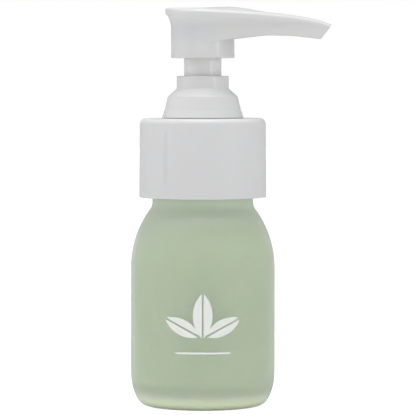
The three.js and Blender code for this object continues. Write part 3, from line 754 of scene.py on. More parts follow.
class Finishes:
    """All the finishes of the object, each made once."""

    def __init__(self) -> None:
        """Make every material."""
        self.glass = FrostedGlass().build()
        self.gel = Gel().build()
        self.collar = MouldedPlastic("collar_plastic", (0.80, 0.80, 0.81), 0.42).build()
        self.pump = MouldedPlastic("pump_plastic", (0.81, 0.81, 0.81), 0.2, grain=0.01).build()
        # The stem is the pump's own plastic painted lighter, 0.95 against 0.81: painted light that
        # makes up for the shade under the head.
        self.stem = MouldedPlastic("stem_plastic_painted_light", (0.95, 0.95, 0.945), 0.2, grain=0.01).build()
        self.housing = MouldedPlastic("housing_plastic", (0.78, 0.78, 0.76), 0.45).build()
        self.piston = MouldedPlastic("piston_plastic", (0.66, 0.70, 0.69), 0.5).build()
        self.tube = MouldedPlastic("tube_plastic", (0.72, 0.76, 0.72), 0.35, glow=0.3).build()
        self.gasket = MouldedPlastic(
            "gasket_foam", (0.62, 0.62, 0.58), 0.8, glow=0.1, grain=0.3
        ).build()
        self.spring = Metal("spring_steel").build()
        self.ball = Metal("ball_steel", smoothest=0.07, roughest=0.20).build()


def dress(
    piece: bpy.types.Object, material: bpy.types.Material, body: Body, slot: str, *nodes: str
) -> None:
    """Give a piece its finish, its body and the nodes that it stands for.

    Args:
        piece: The finished piece.
        material: Its finish.
        body: The body that it rides on.
        slot: The record's slot of that finish. It is not used.
        nodes: The CAD nodes that it replaces.
    """
    smooth(piece)
    piece.data.materials.clear()
    piece.data.materials.append(material)
    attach(piece, body.value)
    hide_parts(*nodes)
    LOG.info("%s rides on %s with %d faces", piece.name, body.value, len(piece.data.polygons))


# The bottle and its gel


@dataclass
class Bottle:
    """The blown glass bottle, and the gel that fills it."""

    finishes: Finishes
    heel_top_mm: float = 9.0
    heel_sweep_mm: float = 15.6
    heel_corner_mm: float = 3.9
    shoulder_start_mm: float = 37.0
    shoulder_mm: float = 27.0
    bead_radius_mm: float = 13.6
    bead_height_mm: float = 2.45
    neck_fillet_mm: float = 3.5
    neck_radius_mm: float = 12.6
    wall_mm: float = 2.2
    base_mm: float = 3.2
    inner_corner_mm: float = 3.0
    bore_mm: float = 9.4
    inner_fillet_mm: float = 5.0
    thread_drop_mm: float = 9.3
    thread_depth_mm: float = 1.0
    thread_root_mm: float = 2.2
    thread_crest_mm: float = 0.9
    edge_mm: float = 0.45
    push_up_mm: float = 0.35
    push_up_radius_mm: float = 11.0
    push_up_edge_mm: float = 1.2
    push_up_end: float = -math.pi * 0.42
    gel_overlap_mm: float = 0.04
    gel_pump_mm: float = 7.8
    gel_pump_floor_mm: float = 43.9
    gel_cone_floor_mm: float = 40.6
    gel_socket_mm: float = 4.7
    gel_socket_floor_mm: float = 28.7
    gel_tube_mm: float = 2.8
    gel_tube_floor_mm: float = 4.7
    heel_steps: int = 10
    shoulder_steps: int = 18
    fillet_steps: int = 8
    edge_steps: int = 4
    push_up_steps: int = 2
    radius_mm: float = field(init=False)
    mouth_mm: float = field(init=False)

    def __post_init__(self) -> None:
        """Take the overall sizes from the frame."""
        _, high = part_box("bottle")
        self.radius_mm = high.x / MM
        self.mouth_mm = high.z / MM

    def heel(self, shrink: float, corner: float, floor: float) -> list[Point]:
        """The base corner and the large sweep above it, from the floor up.

        Args:
            shrink: How far inside the outer surface it lies.
            corner: The small corner's radius.
            floor: The height of its flat floor.

        Returns:
            The points, up to the straight wall.
        """
        sweep = self.heel_sweep_mm - shrink
        centre = self.radius_mm - self.heel_sweep_mm
        drop = self.heel_top_mm - floor - corner
        along = math.sqrt((sweep - corner) ** 2 - drop**2)
        meet = -math.atan2(drop, along)
        return [
            *arc((centre + along, floor + corner), corner, -math.pi / 2, meet, self.heel_steps),
            *arc((centre, self.heel_top_mm), sweep, meet, 0, self.heel_steps)[1:],
        ]

    def shoulder(self, shrink: float, neck: float, fillet: float) -> list[Point]:
        """The round shoulder and the hollow fillet into the neck, from below up.

        Args:
            shrink: How far inside the outer surface it lies.
            neck: The neck's radius at that surface.
            fillet: The hollow fillet's radius.

        Returns:
            The points, up to the straight neck.
        """
        centre = self.radius_mm - self.shoulder_mm
        radius = self.shoulder_mm - shrink
        sideways = neck + fillet - centre
        rise = math.sqrt((radius + fillet) ** 2 - sideways**2)
        meet = math.atan2(rise, sideways)
        hollow = (neck + fillet, self.shoulder_start_mm + rise)
        return [
            *arc((centre, self.shoulder_start_mm), radius, 0, meet, self.shoulder_steps),
            *arc(hollow, fillet, meet + math.pi, math.pi, self.fillet_steps)[1:],
        ]

    def bead_top(self) -> float:
        """The height of the bead's top in millimetres."""
        return self.shoulder(0, self.bead_radius_mm, self.neck_fillet_mm)[-1][1] + self.bead_height_mm

    def build_glass(self) -> None:
        """Make the glass, with its thread."""
        bead_top = self.bead_top()
        inside = [
            *self.heel(self.wall_mm, self.inner_corner_mm, self.base_mm),
            *self.shoulder(self.wall_mm, self.bore_mm, self.inner_fillet_mm),
        ]
        edge, steps = self.edge_mm, self.edge_steps
        lip = self.mouth_mm - edge
        quarter = math.pi / 2
        push_up = (self.push_up_radius_mm, self.push_up_mm * 3)
        outline = [
            (0, self.push_up_mm),
            *arc(push_up, self.push_up_mm * 2, -quarter, self.push_up_end, self.push_up_steps),
            (self.push_up_radius_mm + self.push_up_edge_mm, 0),
            *self.heel(0, self.heel_corner_mm, 0),
            *self.shoulder(0, self.bead_radius_mm, self.neck_fillet_mm),
            *arc((self.bead_radius_mm - edge, bead_top - edge), edge, 0, quarter, steps),
            (self.neck_radius_mm, bead_top),
            *arc((self.neck_radius_mm - edge, lip), edge, 0, quarter, steps),
            *arc((self.bore_mm + edge, lip), edge, quarter, math.pi, steps),
            *reversed(inside),
            (0, self.base_mm),
        ]
        glass = turned("frosted_bottle", outline, Turn.FINE)
        thread = Thread(
            root_radius_mm=self.neck_radius_mm, depth_mm=self.thread_depth_mm,
            root_mm=self.thread_root_mm, crest_mm=self.thread_crest_mm,
            start_mm=self.mouth_mm - self.thread_drop_mm,
        )
        boolean(glass, thread.build("neck_thread"), "UNION")
        dress(glass, self.finishes.glass, Body.BOTTLE, "frosted_glass", "bottle")

    def build_gel(self) -> None:
        """Make the gel, wetting the glass all round and hollow where the pump stands in it."""
        _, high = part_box("gel_fill")
        top = high.z / MM
        wet = self.gel_overlap_mm
        floor = self.base_mm - wet
        shrink = self.wall_mm - wet
        outline = [
            (0, floor),
            *self.heel(shrink, self.inner_corner_mm + wet, floor),
            *self.shoulder(shrink, self.bore_mm + wet, self.inner_fillet_mm - wet),
            (self.bore_mm + wet, top),
            (self.gel_pump_mm, top),
            (self.gel_pump_mm, self.gel_pump_floor_mm),
            (self.gel_socket_mm, self.gel_cone_floor_mm),
            (self.gel_socket_mm, self.gel_socket_floor_mm),
            (self.gel_tube_mm, self.gel_socket_floor_mm),
            (self.gel_tube_mm, self.gel_tube_floor_mm),
            (0, self.gel_tube_floor_mm),
        ]
        gel = turned("gel", outline, Turn.FINE)
        dress(gel, self.finishes.gel, Body.BOTTLE, "gel", "gel_fill")


# The pump's outside


@dataclass
class Collar:
    """The screw collar: a smooth outer shell over a threaded skirt."""

    finishes: Finishes
    edge_mm: float = 1.5
    shell_wall_mm: float = 1.2
    skirt_inner_mm: float = 14.2
    skirt_wall_mm: float = 1.1
    skirt_shorter_mm: float = 1.8
    top_wall_mm: float = 1.5
    top_radius_mm: float = 16.95
    hole_mm: float = 8.9
    groove_roof_mm: float = 3.0
    thread_depth_mm: float = 1.25
    thread_root_mm: float = 2.0
    thread_crest_mm: float = 0.7
    thread_start_mm: float = 62.33
    seam_angle: float = math.radians(-125.1)
    seam_gap_mm: float = 0.6
    seam_width_mm: float = 0.1
    seam_depth_mm: float = 0.08
    seam_outside_mm: float = 0.5
    seam_clear_mm: float = 3.9

    def seam_groove(self, angle: float, bottom: float, top: float) -> bpy.types.Object:
        """A hair-thin upright groove that follows the collar's slight taper.

        Args:
            angle: Where it lies round the collar.
            bottom: The height of the collar's lower edge.
            top: The height of the collar's top.

        Returns:
            The closed cutter.
        """
        _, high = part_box("collar")
        widest = high.x / MM
        along = Vector((math.cos(angle), math.sin(angle), 0))
        across = Vector((-along.y, along.x, 0)) * self.seam_width_mm / 2
        rings = []
        for height in (bottom + self.seam_clear_mm, top - self.seam_clear_mm):
            share = (height - bottom) / (top - bottom)
            surface = widest + (self.top_radius_mm - widest) * share
            near = along * (surface - self.seam_depth_mm) + Vector((0, 0, height))
            far = along * (surface + self.seam_outside_mm) + Vector((0, 0, height))
            ring = (near - across, far - across, far + across, near + across)
            rings.append([point * MM for point in ring])
        return drawn_through("seam_groove", rings, True)

    def build(self) -> None:
        """Make the collar."""
        low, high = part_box("collar")
        radius, bottom, top = high.x / MM, low.z / MM, high.z / MM
        underside = top - self.top_wall_mm
        skirt = self.skirt_inner_mm + self.skirt_wall_mm
        shell_inner = radius - self.shell_wall_mm
        groove_top = top - self.groove_roof_mm
        skirt_bottom = bottom + self.skirt_shorter_mm
        outline = rounded([
            (shell_inner, bottom, SOFT_MM),
            (radius, bottom, SOFT_MM),
            (self.top_radius_mm, top, self.edge_mm),
            (self.hole_mm, top, SOFT_MM),
            (self.hole_mm, underside, 0),
            (self.skirt_inner_mm, underside, SOFT_MM),
            (self.skirt_inner_mm, skirt_bottom, SOFT_MM),
            (skirt, skirt_bottom, SOFT_MM),
            (skirt, groove_top, SOFT_MM),
            (shell_inner, groove_top, SOFT_MM),
        ], 6)
        collar = turned("screw_collar", outline, Turn.FINE)
        thread = Thread(
            root_radius_mm=self.skirt_inner_mm, depth_mm=-self.thread_depth_mm,
            root_mm=self.thread_root_mm, crest_mm=self.thread_crest_mm,
            start_mm=self.thread_start_mm,
        )
        boolean(collar, thread.build("collar_thread"), "UNION")
        for turn in (self.seam_angle, self.seam_angle + math.pi):
            for side in (-1, 1):
                groove = self.seam_groove(turn + side * self.seam_gap_mm / 2 / radius, bottom, top)
                boolean(collar, groove, "DIFFERENCE")
        dress(collar, self.finishes.collar, Body.COLLAR, "collar_plastic", "collar")


@dataclass
class Chaplet:
    """The stepped cone on top of the collar, which guides the stem."""

    finishes: Finishes
    foot_mm: float = 0.5
    foot_inset_mm: float = 0.12
    flare_mm: float = 2.1
    flare_round_mm: float = 2.2
    rim_round_mm: float = 0.15
    cone_round_mm: float = 0.35
    mouth_round_mm: float = 0.25
    cone_base_mm: float = 10.3
    cone_height_mm: float = 3.65
    cone_top_mm: float = 9.4
    chamfer_mm: float = 2.15
    ring_mm: float = 7.0
    bore_mm: float = 5.3
    skirt_inner_mm: float = 8.9
    sleeve_mm: float = 7.1
    base_mm: float = 77.58
    hollow_top_mm: float = 81.48

    def build(self) -> None:
        """Make the chaplet."""
        low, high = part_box("chaplet")
        radius, top, bottom = high.x / MM, high.z / MM, low.z / MM
        cone = self.base_mm + self.flare_mm
        chamfer = cone + self.cone_height_mm
        ring = chamfer + self.chamfer_mm
        outline = rounded([
            (self.skirt_inner_mm, self.base_mm, FINE_MM),
            (radius, self.base_mm, self.rim_round_mm),
            (radius - self.foot_inset_mm, self.base_mm + self.foot_mm, SOFT_MM),
            (self.cone_base_mm, cone, self.flare_round_mm),
            (self.cone_top_mm, chamfer, self.cone_round_mm),
            (self.ring_mm, ring, self.cone_round_mm),
            (self.ring_mm, top, SOFT_MM),
            (self.bore_mm, top, self.mouth_round_mm),
            (self.bore_mm, bottom, FINE_MM),
            (self.sleeve_mm, bottom, FINE_MM),
            (self.sleeve_mm, self.hollow_top_mm, SHARP_MM),
            (self.skirt_inner_mm, self.hollow_top_mm, SHARP_MM),
        ], 5)
        chaplet = turned("chaplet_cone", outline, Turn.PLAIN)
        dress(chaplet, self.finishes.pump, Body.PUMP, "pump_plastic", "chaplet")


@dataclass
class Stem:
    """The tube that the head sits on."""

    finishes: Finishes
    radius_mm: float = 5.03
    bore_mm: float = 2.2
    rod_mm: float = 3.6
    shoulder_mm: float = 5.9
    shoulder_bottom_mm: float = 70.68
    shoulder_top_mm: float = 72.18
    window_width_mm: float = 1.8
    window_height_mm: float = 3.0
    window_rise_mm: float = 1.0

    def windows(self, low: float) -> bpy.types.Object:
        """The cutter for the two windows through the rod, from a height up."""
        half, high = self.window_width_mm / 2, low + self.window_height_mm
        corners = ((-half, low), (half, low), (half, high), (-half, high))
        reach = 2 * self.rod_mm
        rings = [[Vector((x, y, z)) * MM for x, z in corners] for y in (-reach, reach)]
        return drawn_through("stem_windows", rings, True)

    def build(self) -> None:
        """Make the stem."""
        low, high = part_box("stem")
        bottom, top = low.z / MM, high.z / MM
        outline = rounded([
            (self.bore_mm, bottom, SHARP_MM),
            (self.rod_mm, bottom, FINE_MM),
            (self.rod_mm, self.shoulder_bottom_mm, FINE_MM),
            (self.shoulder_mm, self.shoulder_bottom_mm, FINE_MM),
            (self.shoulder_mm, self.shoulder_top_mm, FINE_MM),
            (self.radius_mm, self.shoulder_top_mm, FINE_MM),
            (self.radius_mm, top, SOFT_MM),
            (self.bore_mm, top, FINE_MM),
        ], 4)
        stem = turned("pump_stem", outline, Turn.PLAIN)
        boolean(stem, self.windows(bottom + self.window_rise_mm), "DIFFERENCE")
        # The stem wears the pump plastic painted lighter, as painted light against the shade under the
        # head.
        dress(stem, self.finishes.stem, Body.HEAD, "pump_plastic", "stem")


@dataclass
class Head:
    """The actuator head: skirt, roof, spout and flow tube in one moulding."""

    finishes: Finishes
    ring_points: int = 96
    skirt_mm: float = 8.53
    rim_radius_mm: float = 10.04
    rim_rise_mm: float = 13.4
    roof_bend_x_mm: float = 11.0
    roof_bend_drop_mm: float = 0.6
    roof_lead_mm: float = 6.8
    roof_lead_rise_mm: float = 3.0
    roof_halvings: int = 30
    tip_top_rise_mm: float = 9.1
    tip_height_mm: float = 3.9
    tip_setback_mm: float = 3.0
    tip_half_width_mm: float = 3.75
    tip_corner_mm: float = 0.8
    tip_mid_share: float = 0.45
    corner_cut: float = 0.29
    corner_lean: float = 0.11
    arch_rise_mm: float = 6.35
    arch_x_mm: float = 19.7
    arch_back_drop_mm: float = 2.3
    arch_front_drop_mm: float = 1.18
    arch_power: float = 1.2
    arch_steps: int = 36
    wall_mm: float = 1.2
    roof_wall_mm: float = 1.3
    solid_mm: float = 2.4
    pocket_below_mm: float = 1.0
    pocket_flare_mm: float = 9.5
    pocket_step_mm: float = 0.5
    widening_mm: float = 1.0
    past_tip_mm: float = 5.0
    below_mm: float = 1.0
    arch_below_mm: float = 2.0
    tip_low_rise_mm: float = 5.2
    skirt_wall_mm: float = 1.18
    crown_mm: float = 0.82
    crown_x_mm: float = 8.0
    crown_reach_mm: float = 11.5
    edge_back_mm: float = 0.35
    edge_side_mm: float = 1.2
    edge_grows_mm: float = 6.0
    edge_slope: float = 2.4
    edge_steps: int = 8
    crown_shares: tuple[float, ...] = (0.93, 0.82, 0.66, 0.48, 0.28, 0.12, 0.0)
    flow_tube_mm: float = 2.4
    flow_tube_taper_mm: float = 0.6
    flow_bore_mm: float = 1.65
    flow_bore_taper_mm: float = 0.3
    flow_rise_mm: float = 8.5
    flow_tip_rise_mm: float = 6.7
    flow_bend: float = 0.75
    flow_past_mm: float = 1.0
    flow_points: int = 32
    flow_stations: int = 10
    flow_start: float = 0.12
    flow_length: float = 0.7
    mouth_shares: tuple[float, ...] = (0.7, 0.8, 0.9, 1.1)
    under_roof_mm: float = 0.6
    skirt_round_mm: float = 0.25
    skirt_inset_mm: float = 0.03
    skirt_inset_rise_mm: float = 0.01
    boss_bore_mm: float = 5.13
    boss_wall_mm: float = 1.3
    boss_rise_mm: float = 4.5
    # How the walls flare: each height above the arch's back, with the radius there
    flare: tuple[Point, ...] = (
        (0.0, 8.53), (3.6, 8.54), (4.7, 8.58), (5.4, 8.66), (6.0, 8.79), (6.5, 8.94),
        (7.0, 9.12), (7.4, 9.3), (7.7, 9.52), (7.92, 9.8), (8.1, 10.04),
    )
    tip_x_mm: float = field(init=False)
    bottom_mm: float = field(init=False)

    def __post_init__(self) -> None:
        """Take the overall sizes from the frame."""
        low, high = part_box("head")
        self.tip_x_mm = high.x / MM
        self.bottom_mm = low.z / MM

    def roof_line(self, x: float) -> float:
        """The height of the roof's rim above a place along the spout, in millimetres."""
        rim = self.bottom_mm + self.rim_rise_mm
        tip = self.bottom_mm + self.tip_top_rise_mm
        if x <= 0:
            return rim
        handles = (
            (0, rim),
            (self.roof_bend_x_mm, rim - self.roof_bend_drop_mm),
            (self.tip_x_mm - self.roof_lead_mm, tip + self.roof_lead_rise_mm),
            (self.tip_x_mm, tip),
        )
        low, high = 0.0, 1.0
        for _ in range(self.roof_halvings):
            t = (low + high) / 2
            weights = ((1 - t) ** 3, 3 * t * (1 - t) ** 2, 3 * t * t * (1 - t), t**3)
            if sum(w * h[0] for w, h in zip(weights, handles)) < x:
                low = t
            else:
                high = t
        return sum(w * h[1] for w, h in zip(weights, handles))

    def under_line(self, x: float) -> float:
        """The height of the lower edge of the walls at a place along the spout."""
        top = self.bottom_mm + self.arch_rise_mm
        if x < self.arch_x_mm:
            share = (self.arch_x_mm - max(x, 0)) / self.arch_x_mm
            return top - self.arch_back_drop_mm * share**self.arch_power
        share = (x - self.arch_x_mm) / (self.tip_x_mm - self.tip_setback_mm - self.arch_x_mm)
        return top - self.arch_front_drop_mm * min(share, 1.0) ** self.arch_power

    def teardrop(self, radius: float, tip_x: float, half: float) -> list[Point]:
        """The head's outline from above: a round back and straight walls to the tip.

        Args:
            radius: The round back's radius.
            tip_x: How far forward the tip lies.
            half: Half the tip's width.

        Returns:
            The outline's points in millimetres, anticlockwise from the middle of the tip.
        """
        count = self.ring_points
        turn = math.tau / count
        first = math.ceil((math.acos(radius / tip_x) + half / tip_x) / turn)
        corner = self.tip_corner_mm
        joint = (radius * math.cos(first * turn), radius * math.sin(first * turn))
        near_tip = [
            (tip_x, 0.0),
            (tip_x, half * self.tip_mid_share),
            (tip_x, half - corner),
            (tip_x - corner * self.corner_cut, half - corner * self.corner_cut),
            (tip_x - corner, half + corner * self.corner_lean),
        ]
        start = near_tip[-1]
        steps = first - len(near_tip) + 1
        wall = [
            tuple(a + (b - a) * i / steps for a, b in zip(start, joint)) for i in range(1, steps)
        ]
        half_ring = near_tip + wall + [
            (radius * math.cos(i * turn), radius * math.sin(i * turn))
            for i in range(first, count // 2 + 1)
        ]
        return half_ring + [(x, -y) for x, y in reversed(half_ring[1:-1])]

    def edge_round(self, x: float) -> tuple[float, float]:
        """The pillowed edge of the roof: tight at the back, fuller along the sides.

        Args:
            x: The place along the spout.

        Returns:
            How high the edge rises and how far in it reaches, in millimetres.
        """
        share = min(max((x + self.rim_radius_mm) / self.edge_grows_mm, 0), 1)
        rise = self.edge_back_mm + (self.edge_side_mm - self.edge_back_mm) * share
        return rise, rise * (1 + (self.edge_slope - 1) * share)

    def half_width(self, x: float, radius: float) -> float:
        """Half the width between the straight walls at a place along the spout."""
        slope = (radius - self.tip_half_width_mm) / self.tip_x_mm
        return self.tip_half_width_mm + (self.tip_x_mm + self.widening_mm - x) * slope

    def outer_body(self) -> bpy.types.Object:
        """Make the whole outside as a solid that runs on past the tip."""
        base = self.under_line(0) - self.below_mm
        rise = self.bottom_mm + self.rim_rise_mm - base
        tip_x = self.tip_x_mm + self.past_tip_mm
        rings = []
        for height, radius in (*self.flare, (rise - self.below_mm, self.rim_radius_mm)):
            share = (height + self.below_mm) / rise if height > 0 else 0
            ring = []
            for x, y in self.teardrop(radius, tip_x, self.half_width(tip_x, radius)):
                top = self.roof_line(x) - self.edge_round(x)[0]
                ring.append(Vector((x, y, base + (top - base) * share)) * MM)
            rings.append(ring)
        return drawn_through("head_body", [*rings, *self.roof_rings(rings[-1])], True)

    def pocket(self) -> bpy.types.Object:
        """Make the hollow under the roof, which ends short of the tip."""
        tip_x = self.tip_x_mm - self.tip_setback_mm - self.solid_mm
        base = self.bottom_mm - self.pocket_below_mm
        levels = (
            (0.0, self.skirt_mm),
            (self.pocket_flare_mm, self.skirt_mm),
            (None, self.rim_radius_mm - self.pocket_step_mm),
        )
        rings = []
        for height, radius in levels:
            inner = radius - self.wall_mm
            half = self.half_width(tip_x, radius) - self.wall_mm
            ring = []
            for x, y in self.teardrop(inner, tip_x, half):
                top = self.roof_line(x) - self.roof_wall_mm
                z = top if height is None else min(base + height, top - self.pocket_step_mm)
                ring.append(Vector((x, y, z)) * MM)
            rings.append(ring)
        rings.append([Vector((point.x, 0, point.z)) for point in rings[-1]])
        return drawn_through("pocket", rings, True)

    def prism(self, name: str, profile: list[Point]) -> bpy.types.Object:
        """A cutter that runs right across the head.

        Args:
            name: The cutter's name.
            profile: Its outline seen from the side, as (x, z) in millimetres.

        Returns:
            The closed cutter.
        """
        across = 2 * self.rim_radius_mm
        rings = [[Vector((x, y, z)) * MM for x, z in profile] for y in (-across, across)]
        return drawn_through(name, rings, True)

    def arch_cutter(self) -> bpy.types.Object:
        """Everything below the arched lower edge of the walls."""
        back, front = -2 * self.rim_radius_mm, 2 * self.tip_x_mm
        low = self.bottom_mm - self.arch_below_mm
        reach = self.tip_x_mm - self.tip_setback_mm
        places = [reach * i / self.arch_steps for i in range(self.arch_steps + 1)]
        line = [(x, self.under_line(x)) for x in places]
        profile = [
            (back, low), (back, self.under_line(0)), *line,
            (front, self.under_line(front)), (front, low),
        ]
        return self.prism("arch_cutter", profile)

    def slant_tip(self, body: bpy.types.Object) -> None:
        """Cut the tip off along its slanted front face."""
        low = Vector((
            self.tip_x_mm - self.tip_setback_mm, 0, self.bottom_mm + self.tip_low_rise_mm
        )) * MM
        outwards = Vector((self.tip_height_mm, 0, -self.tip_setback_mm)).normalized()
        make_active(body)
        bpy.ops.object.mode_set(mode="EDIT")
        bpy.ops.mesh.select_all(action="SELECT")
        bpy.ops.mesh.bisect(plane_co=low, plane_no=outwards, use_fill=True, clear_outer=True)
        bpy.ops.object.mode_set(mode="OBJECT")
        close_and_face_outwards(body)

    def roof_rings(self, last: list[Vector]) -> list[list[Vector]]:
        """The rings of the rounded edge and of the crowned roof, inwards to its middle line.

        Args:
            last: The walls' uppermost ring.

        Returns:
            The rings in order, the last of them on the middle line.
        """
        rings = []
        count = len(last)
        normals = []
        for i in range(count):
            along = last[(i + 1) % count] - last[i - 1]
            normals.append(Vector((along.y, -along.x, 0)).normalized())
        for step in range(1, self.edge_steps + 1):
            angle = math.pi / 2 * step / self.edge_steps
            ring = []
            for point, normal in zip(last, normals):
                rise, reach = self.edge_round(point.x / MM)
                moved = point - normal * reach * MM * (1 - math.cos(angle))
                moved.z += rise * MM * math.sin(angle)
                ring.append(moved)
            rings.append(ring)
        rim = rings[-1]
        for share in self.crown_shares:
            ring = []
            for point in rim:
                away = min(abs(point.x / MM - self.crown_x_mm) / self.crown_reach_mm, 1)
                crown = self.crown_mm * MM * math.cos(away * math.pi / 2) ** 2
                ring.append(Vector((point.x, point.y * share, point.z + crown * (1 - share**2))))
            rings.append(ring)
        return rings

    def flow_point(self, share: float) -> tuple[Vector, Vector]:
        """A place on the flow tube's axis and the direction there.

        Args:
            share: How far along the tube, from 0 at the stem to 1 past the tip.

        Returns:
            The place and the direction, in millimetres.
        """
        start = Vector((0, 0, self.bottom_mm + self.flow_rise_mm))
        bend = Vector((self.tip_x_mm * self.flow_bend, 0, start.z))
        end = Vector((
            self.tip_x_mm + self.flow_past_mm, 0, self.bottom_mm + self.flow_tip_rise_mm
        ))
        place = start * (1 - share) ** 2 + bend * 2 * share * (1 - share) + end * share**2
        along = (bend - start) * (1 - share) + (end - bend) * share
        return place, along.normalized()

    def flow_ring(self, share: float, radius: float, taper: float) -> list[Vector]:
        """A ring of points round the flow tube's axis.

        Args:
            share: How far along the tube it lies.
            radius: The radius at the stem.
            taper: How much narrower the tube is at the far end.

        Returns:
            The ring's points in metres.
        """
        radius -= taper * share
        place, along = self.flow_point(share)
        across = Vector((0, 1, 0))
        up = Vector((-along.z, 0, along.x))
        ring = []
        for i in range(self.flow_points):
            angle = math.tau * i / self.flow_points
            point = place + across * radius * math.cos(angle) + up * radius * math.sin(angle)
            ring.append(point * MM)
        return ring

    def build_shell(self) -> bpy.types.Object:
        """Make the walls and the roof, and cut the spout's mouth through the tip."""
        shell = self.outer_body()
        self.slant_tip(shell)
        boolean(shell, self.pocket(), "DIFFERENCE")
        boolean(shell, self.arch_cutter(), "DIFFERENCE")
        rings = [
            self.flow_ring(share, self.flow_bore_mm, self.flow_bore_taper_mm)
            for share in self.mouth_shares
        ]
        boolean(shell, drawn_through("bore", rings, True), "DIFFERENCE")
        return shell

    def build_flow_tube(self) -> bpy.types.Object:
        """Make the tube that carries the gel from the stem to the tip."""
        last = self.flow_stations - 1
        shares = [self.flow_start + self.flow_length * i / last for i in range(last + 1)]
        outer = [self.flow_ring(s, self.flow_tube_mm, self.flow_tube_taper_mm) for s in shares]
        inner = [self.flow_ring(s, self.flow_bore_mm, self.flow_bore_taper_mm) for s in shares]
        return drawn_through("flow_tube", [*outer, *reversed(inner), outer[0]], False)

    def build_skirt(self) -> bpy.types.Object:
        """Make the skirt that slides down over the chaplet's ring."""
        top = self.bottom_mm + self.rim_rise_mm - self.under_roof_mm
        inner = self.skirt_mm - self.skirt_wall_mm
        hidden = self.under_line(0)
        inset = self.skirt_mm - self.skirt_inset_mm
        return turned("head_skirt", rounded([
            (inner, self.bottom_mm, self.skirt_round_mm),
            (self.skirt_mm, self.bottom_mm, SOFT_MM),
            (self.skirt_mm, hidden, 0),
            (inset, hidden + self.skirt_inset_rise_mm, 0),
            (inset, top, 0),
            (inner, top, 0),
        ], 4), Turn.PLAIN)

    def build_boss(self) -> bpy.types.Object:
        """Make the boss that grips the stem."""
        low = self.bottom_mm + self.boss_rise_mm
        top = self.bottom_mm + self.rim_rise_mm - self.under_roof_mm
        outer = self.boss_bore_mm + self.boss_wall_mm
        return turned("head_boss", rounded([
            (self.boss_bore_mm, low, FINE_MM),
            (outer, low, FINE_MM),
            (outer, top, 0),
            (self.boss_bore_mm, top, 0),
        ], 3), Turn.SMALL)

    def build(self) -> None:
        """Make the whole head."""
        head = join(
            [self.build_shell(), self.build_skirt(), self.build_boss(), self.build_flow_tube()],
            "pump_head",
        )
        dress(head, self.finishes.pump, Body.HEAD, "pump_plastic", "head")


# What works inside


@dataclass
class Spring:
    """The return spring: a coil with one closed turn at each end."""

    finishes: Finishes
    wire_mm: float = 0.4
    radius_mm: float = 4.2
    turns: int = 7
    closed_pitch_mm: float = 0.9
    floor_mm: float = 44.98
    press_mm: float = 8.0
    points: int = 10
    steps_per_turn: int = 32

    def build(self) -> None:
        """Make the spring at one fixed length, though the real one shortens as the head goes down."""
        low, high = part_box("spring")
        bottom, top = low.z / MM + self.wire_mm, high.z / MM - self.wire_mm
        open_pitch = (top - bottom - 2 * self.closed_pitch_mm) / (self.turns - 2)
        rings = []
        for i in range(self.turns * self.steps_per_turn + 1):
            turn = i / self.steps_per_turn
            closed = min(turn, 1) + max(turn - self.turns + 1, 0)
            middle = min(max(turn - 1, 0), self.turns - 2)
            height = bottom + closed * self.closed_pitch_mm + middle * open_pitch
            along = Vector((math.cos(math.tau * turn), math.sin(math.tau * turn), 0))
            ring = []
            for k in range(self.points):
                angle = math.tau * k / self.points
                place = along * (self.radius_mm + self.wire_mm * math.cos(angle))
                place.z = height + self.wire_mm * math.sin(angle)
                ring.append(place * MM)
            rings.append(ring)
        spring = drawn_through("return_spring", rings, True)
        dress(spring, self.finishes.spring, Body.PUMP, "spring_steel", "spring")
        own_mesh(spring)


@dataclass
class InnerParts:
    """The hidden parts of the pump, which keep their own solids."""

    finishes: Finishes

    def dress_all(self) -> None:
        """Give each carried-over node its finish."""
        finishes = {
            "housing": self.finishes.housing,
            "piston_seat": self.finishes.housing,
            "piston": self.finishes.piston,
            "dip_tube": self.finishes.tube,
            "neck_gasket": self.finishes.gasket,
            "inlet_ball": self.finishes.ball,
        }
        for name, material in finishes.items():
            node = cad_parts[name]
            node.data.materials.clear()
            node.data.materials.append(material)
            LOG.info("%s keeps its solid", name)


# The place where it is photographed


@dataclass(frozen=True)
class Lamp:
    """A soft lamp that shines at the object."""

    name: str
    place: tuple[float, float, float]
    width: float
    height: float
    power: float

    def add(self, aim: Vector) -> None:
        """Add the lamp to the scene.

        Args:
            aim: The point that it shines at.
        """
        deselect_all()
        place = Vector(self.place)
        turn = (aim - place).to_track_quat("-Z", "Y").to_euler()
        bpy.ops.object.light_add(type="AREA", location=place, rotation=turn)
        lamp = bpy.context.object
        lamp.name = self.name
        lamp.data.shape = "RECTANGLE"
        lamp.data.size = self.width
        lamp.data.size_y = self.height
        lamp.data.energy = self.power


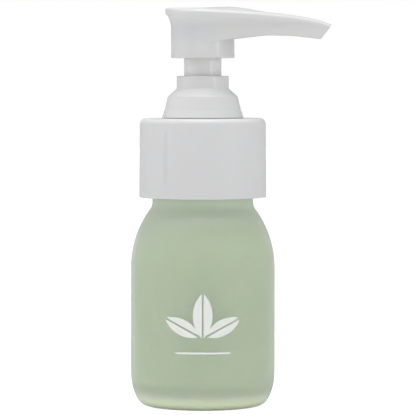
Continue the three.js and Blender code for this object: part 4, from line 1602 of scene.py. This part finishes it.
@dataclass
class Studio:
    """A white floor and surround, soft lamps and the camera."""

    camera_distance: float = 0.780
    camera_height: float = 0.0878
    aim_height: float = 0.0534
    aim_x: float = 0.00127
    frame_width: float = 0.112
    sensor_mm: float = 36.0
    near_clip: float = 0.01
    floor_size: float = 6.0
    floor_colour: Rgb = (0.86, 0.86, 0.86)
    floor_roughness: float = 0.9
    floor_lift: float = 0.75
    surround: float = 0.415
    back_gain: float = 0.11
    side_gain: float = 0.2
    lamp_aim_height: float = 0.06
    lamps: tuple[Lamp, ...] = (
        Lamp("top_lamp", (0.0, -0.12, 0.75), width=0.4, height=0.4, power=2.8),
        Lamp("left_lamp", (-0.8, -0.25, 0.3), width=0.9, height=0.9, power=1.3),
        Lamp("front_lamp", (0.0, -0.9, 0.03), width=0.9, height=0.05, power=0.3),
        Lamp("strip_lamp", (0.66, -0.45, 0.12), width=0.06, height=0.5, power=0.7),
    )

    def build_camera(self) -> None:
        """Make the camera of the photograph's view."""
        deselect_all()
        place = Vector((self.aim_x, -self.camera_distance, self.camera_height))
        aim = Vector((self.aim_x, 0, self.aim_height))
        turn = (aim - place).to_track_quat("-Z", "Y").to_euler()
        bpy.ops.object.camera_add(location=place, rotation=turn)
        camera = bpy.context.object
        camera.data.sensor_width = self.sensor_mm
        camera.data.lens = self.sensor_mm * (aim - place).length / self.frame_width
        camera.data.clip_start = self.near_clip
        bpy.context.scene.camera = camera

    def build_floor(self) -> None:
        """Make the floor: white to the camera, with the object's shadow kept."""
        deselect_all()
        bpy.ops.mesh.primitive_plane_add(size=self.floor_size)
        floor = bpy.context.object
        floor.name = "floor"
        finish = Finish("floor")
        finish.set(
            Base_Color=(*self.floor_colour, 1), Roughness=self.floor_roughness,
            Emission_Color=(1, 1, 1, 1),
        )
        finish.wire(finish.times(finish.seen(), self.floor_lift), "Emission Strength")
        floor.data.materials.append(finish.material)

    def build_world(self) -> None:
        """Light all from all round, more from behind and the sides, and show plain white."""
        world = bpy.data.worlds.new("surround")
        bpy.context.scene.world = world
        world.use_nodes = True
        nodes = Nodes(world.node_tree)
        background = nodes.tree.nodes["Background"]
        x, y, _ = nodes.parts("Generated")
        front, back = self.surround - self.back_gain, self.surround + self.back_gain
        light = nodes.spread(y, (-1, 1), front, back)
        light = nodes.math("MULTIPLY_ADD", nodes.times(x, x), self.side_gain, light)
        nodes.feed(background.inputs["Strength"], nodes.spread(nodes.seen(), (0, 1), light, 1))
        nodes.feed(background.inputs["Color"], (1, 1, 1, 1))

    def build(self) -> None:
        """Make the whole place."""
        self.build_camera()
        self.build_floor()
        self.build_world()
        for lamp in self.lamps:
            lamp.add(Vector((0, 0, self.lamp_aim_height)))
        bpy.context.scene.view_settings.view_transform = "Standard"


def main() -> None:
    """Build the studio, then the object from the glass outwards."""
    logging.basicConfig(level=logging.INFO, format="%(name)s: %(message)s")
    Studio().build()
    finishes = Finishes()
    bottle = Bottle(finishes)
    bottle.build_glass()
    bottle.build_gel()
    Collar(finishes).build()
    Chaplet(finishes).build()
    Stem(finishes).build()
    Head(finishes).build()
    Spring(finishes).build()
    InnerParts(finishes).dress_all()


if __name__ == "__main__":
    main()
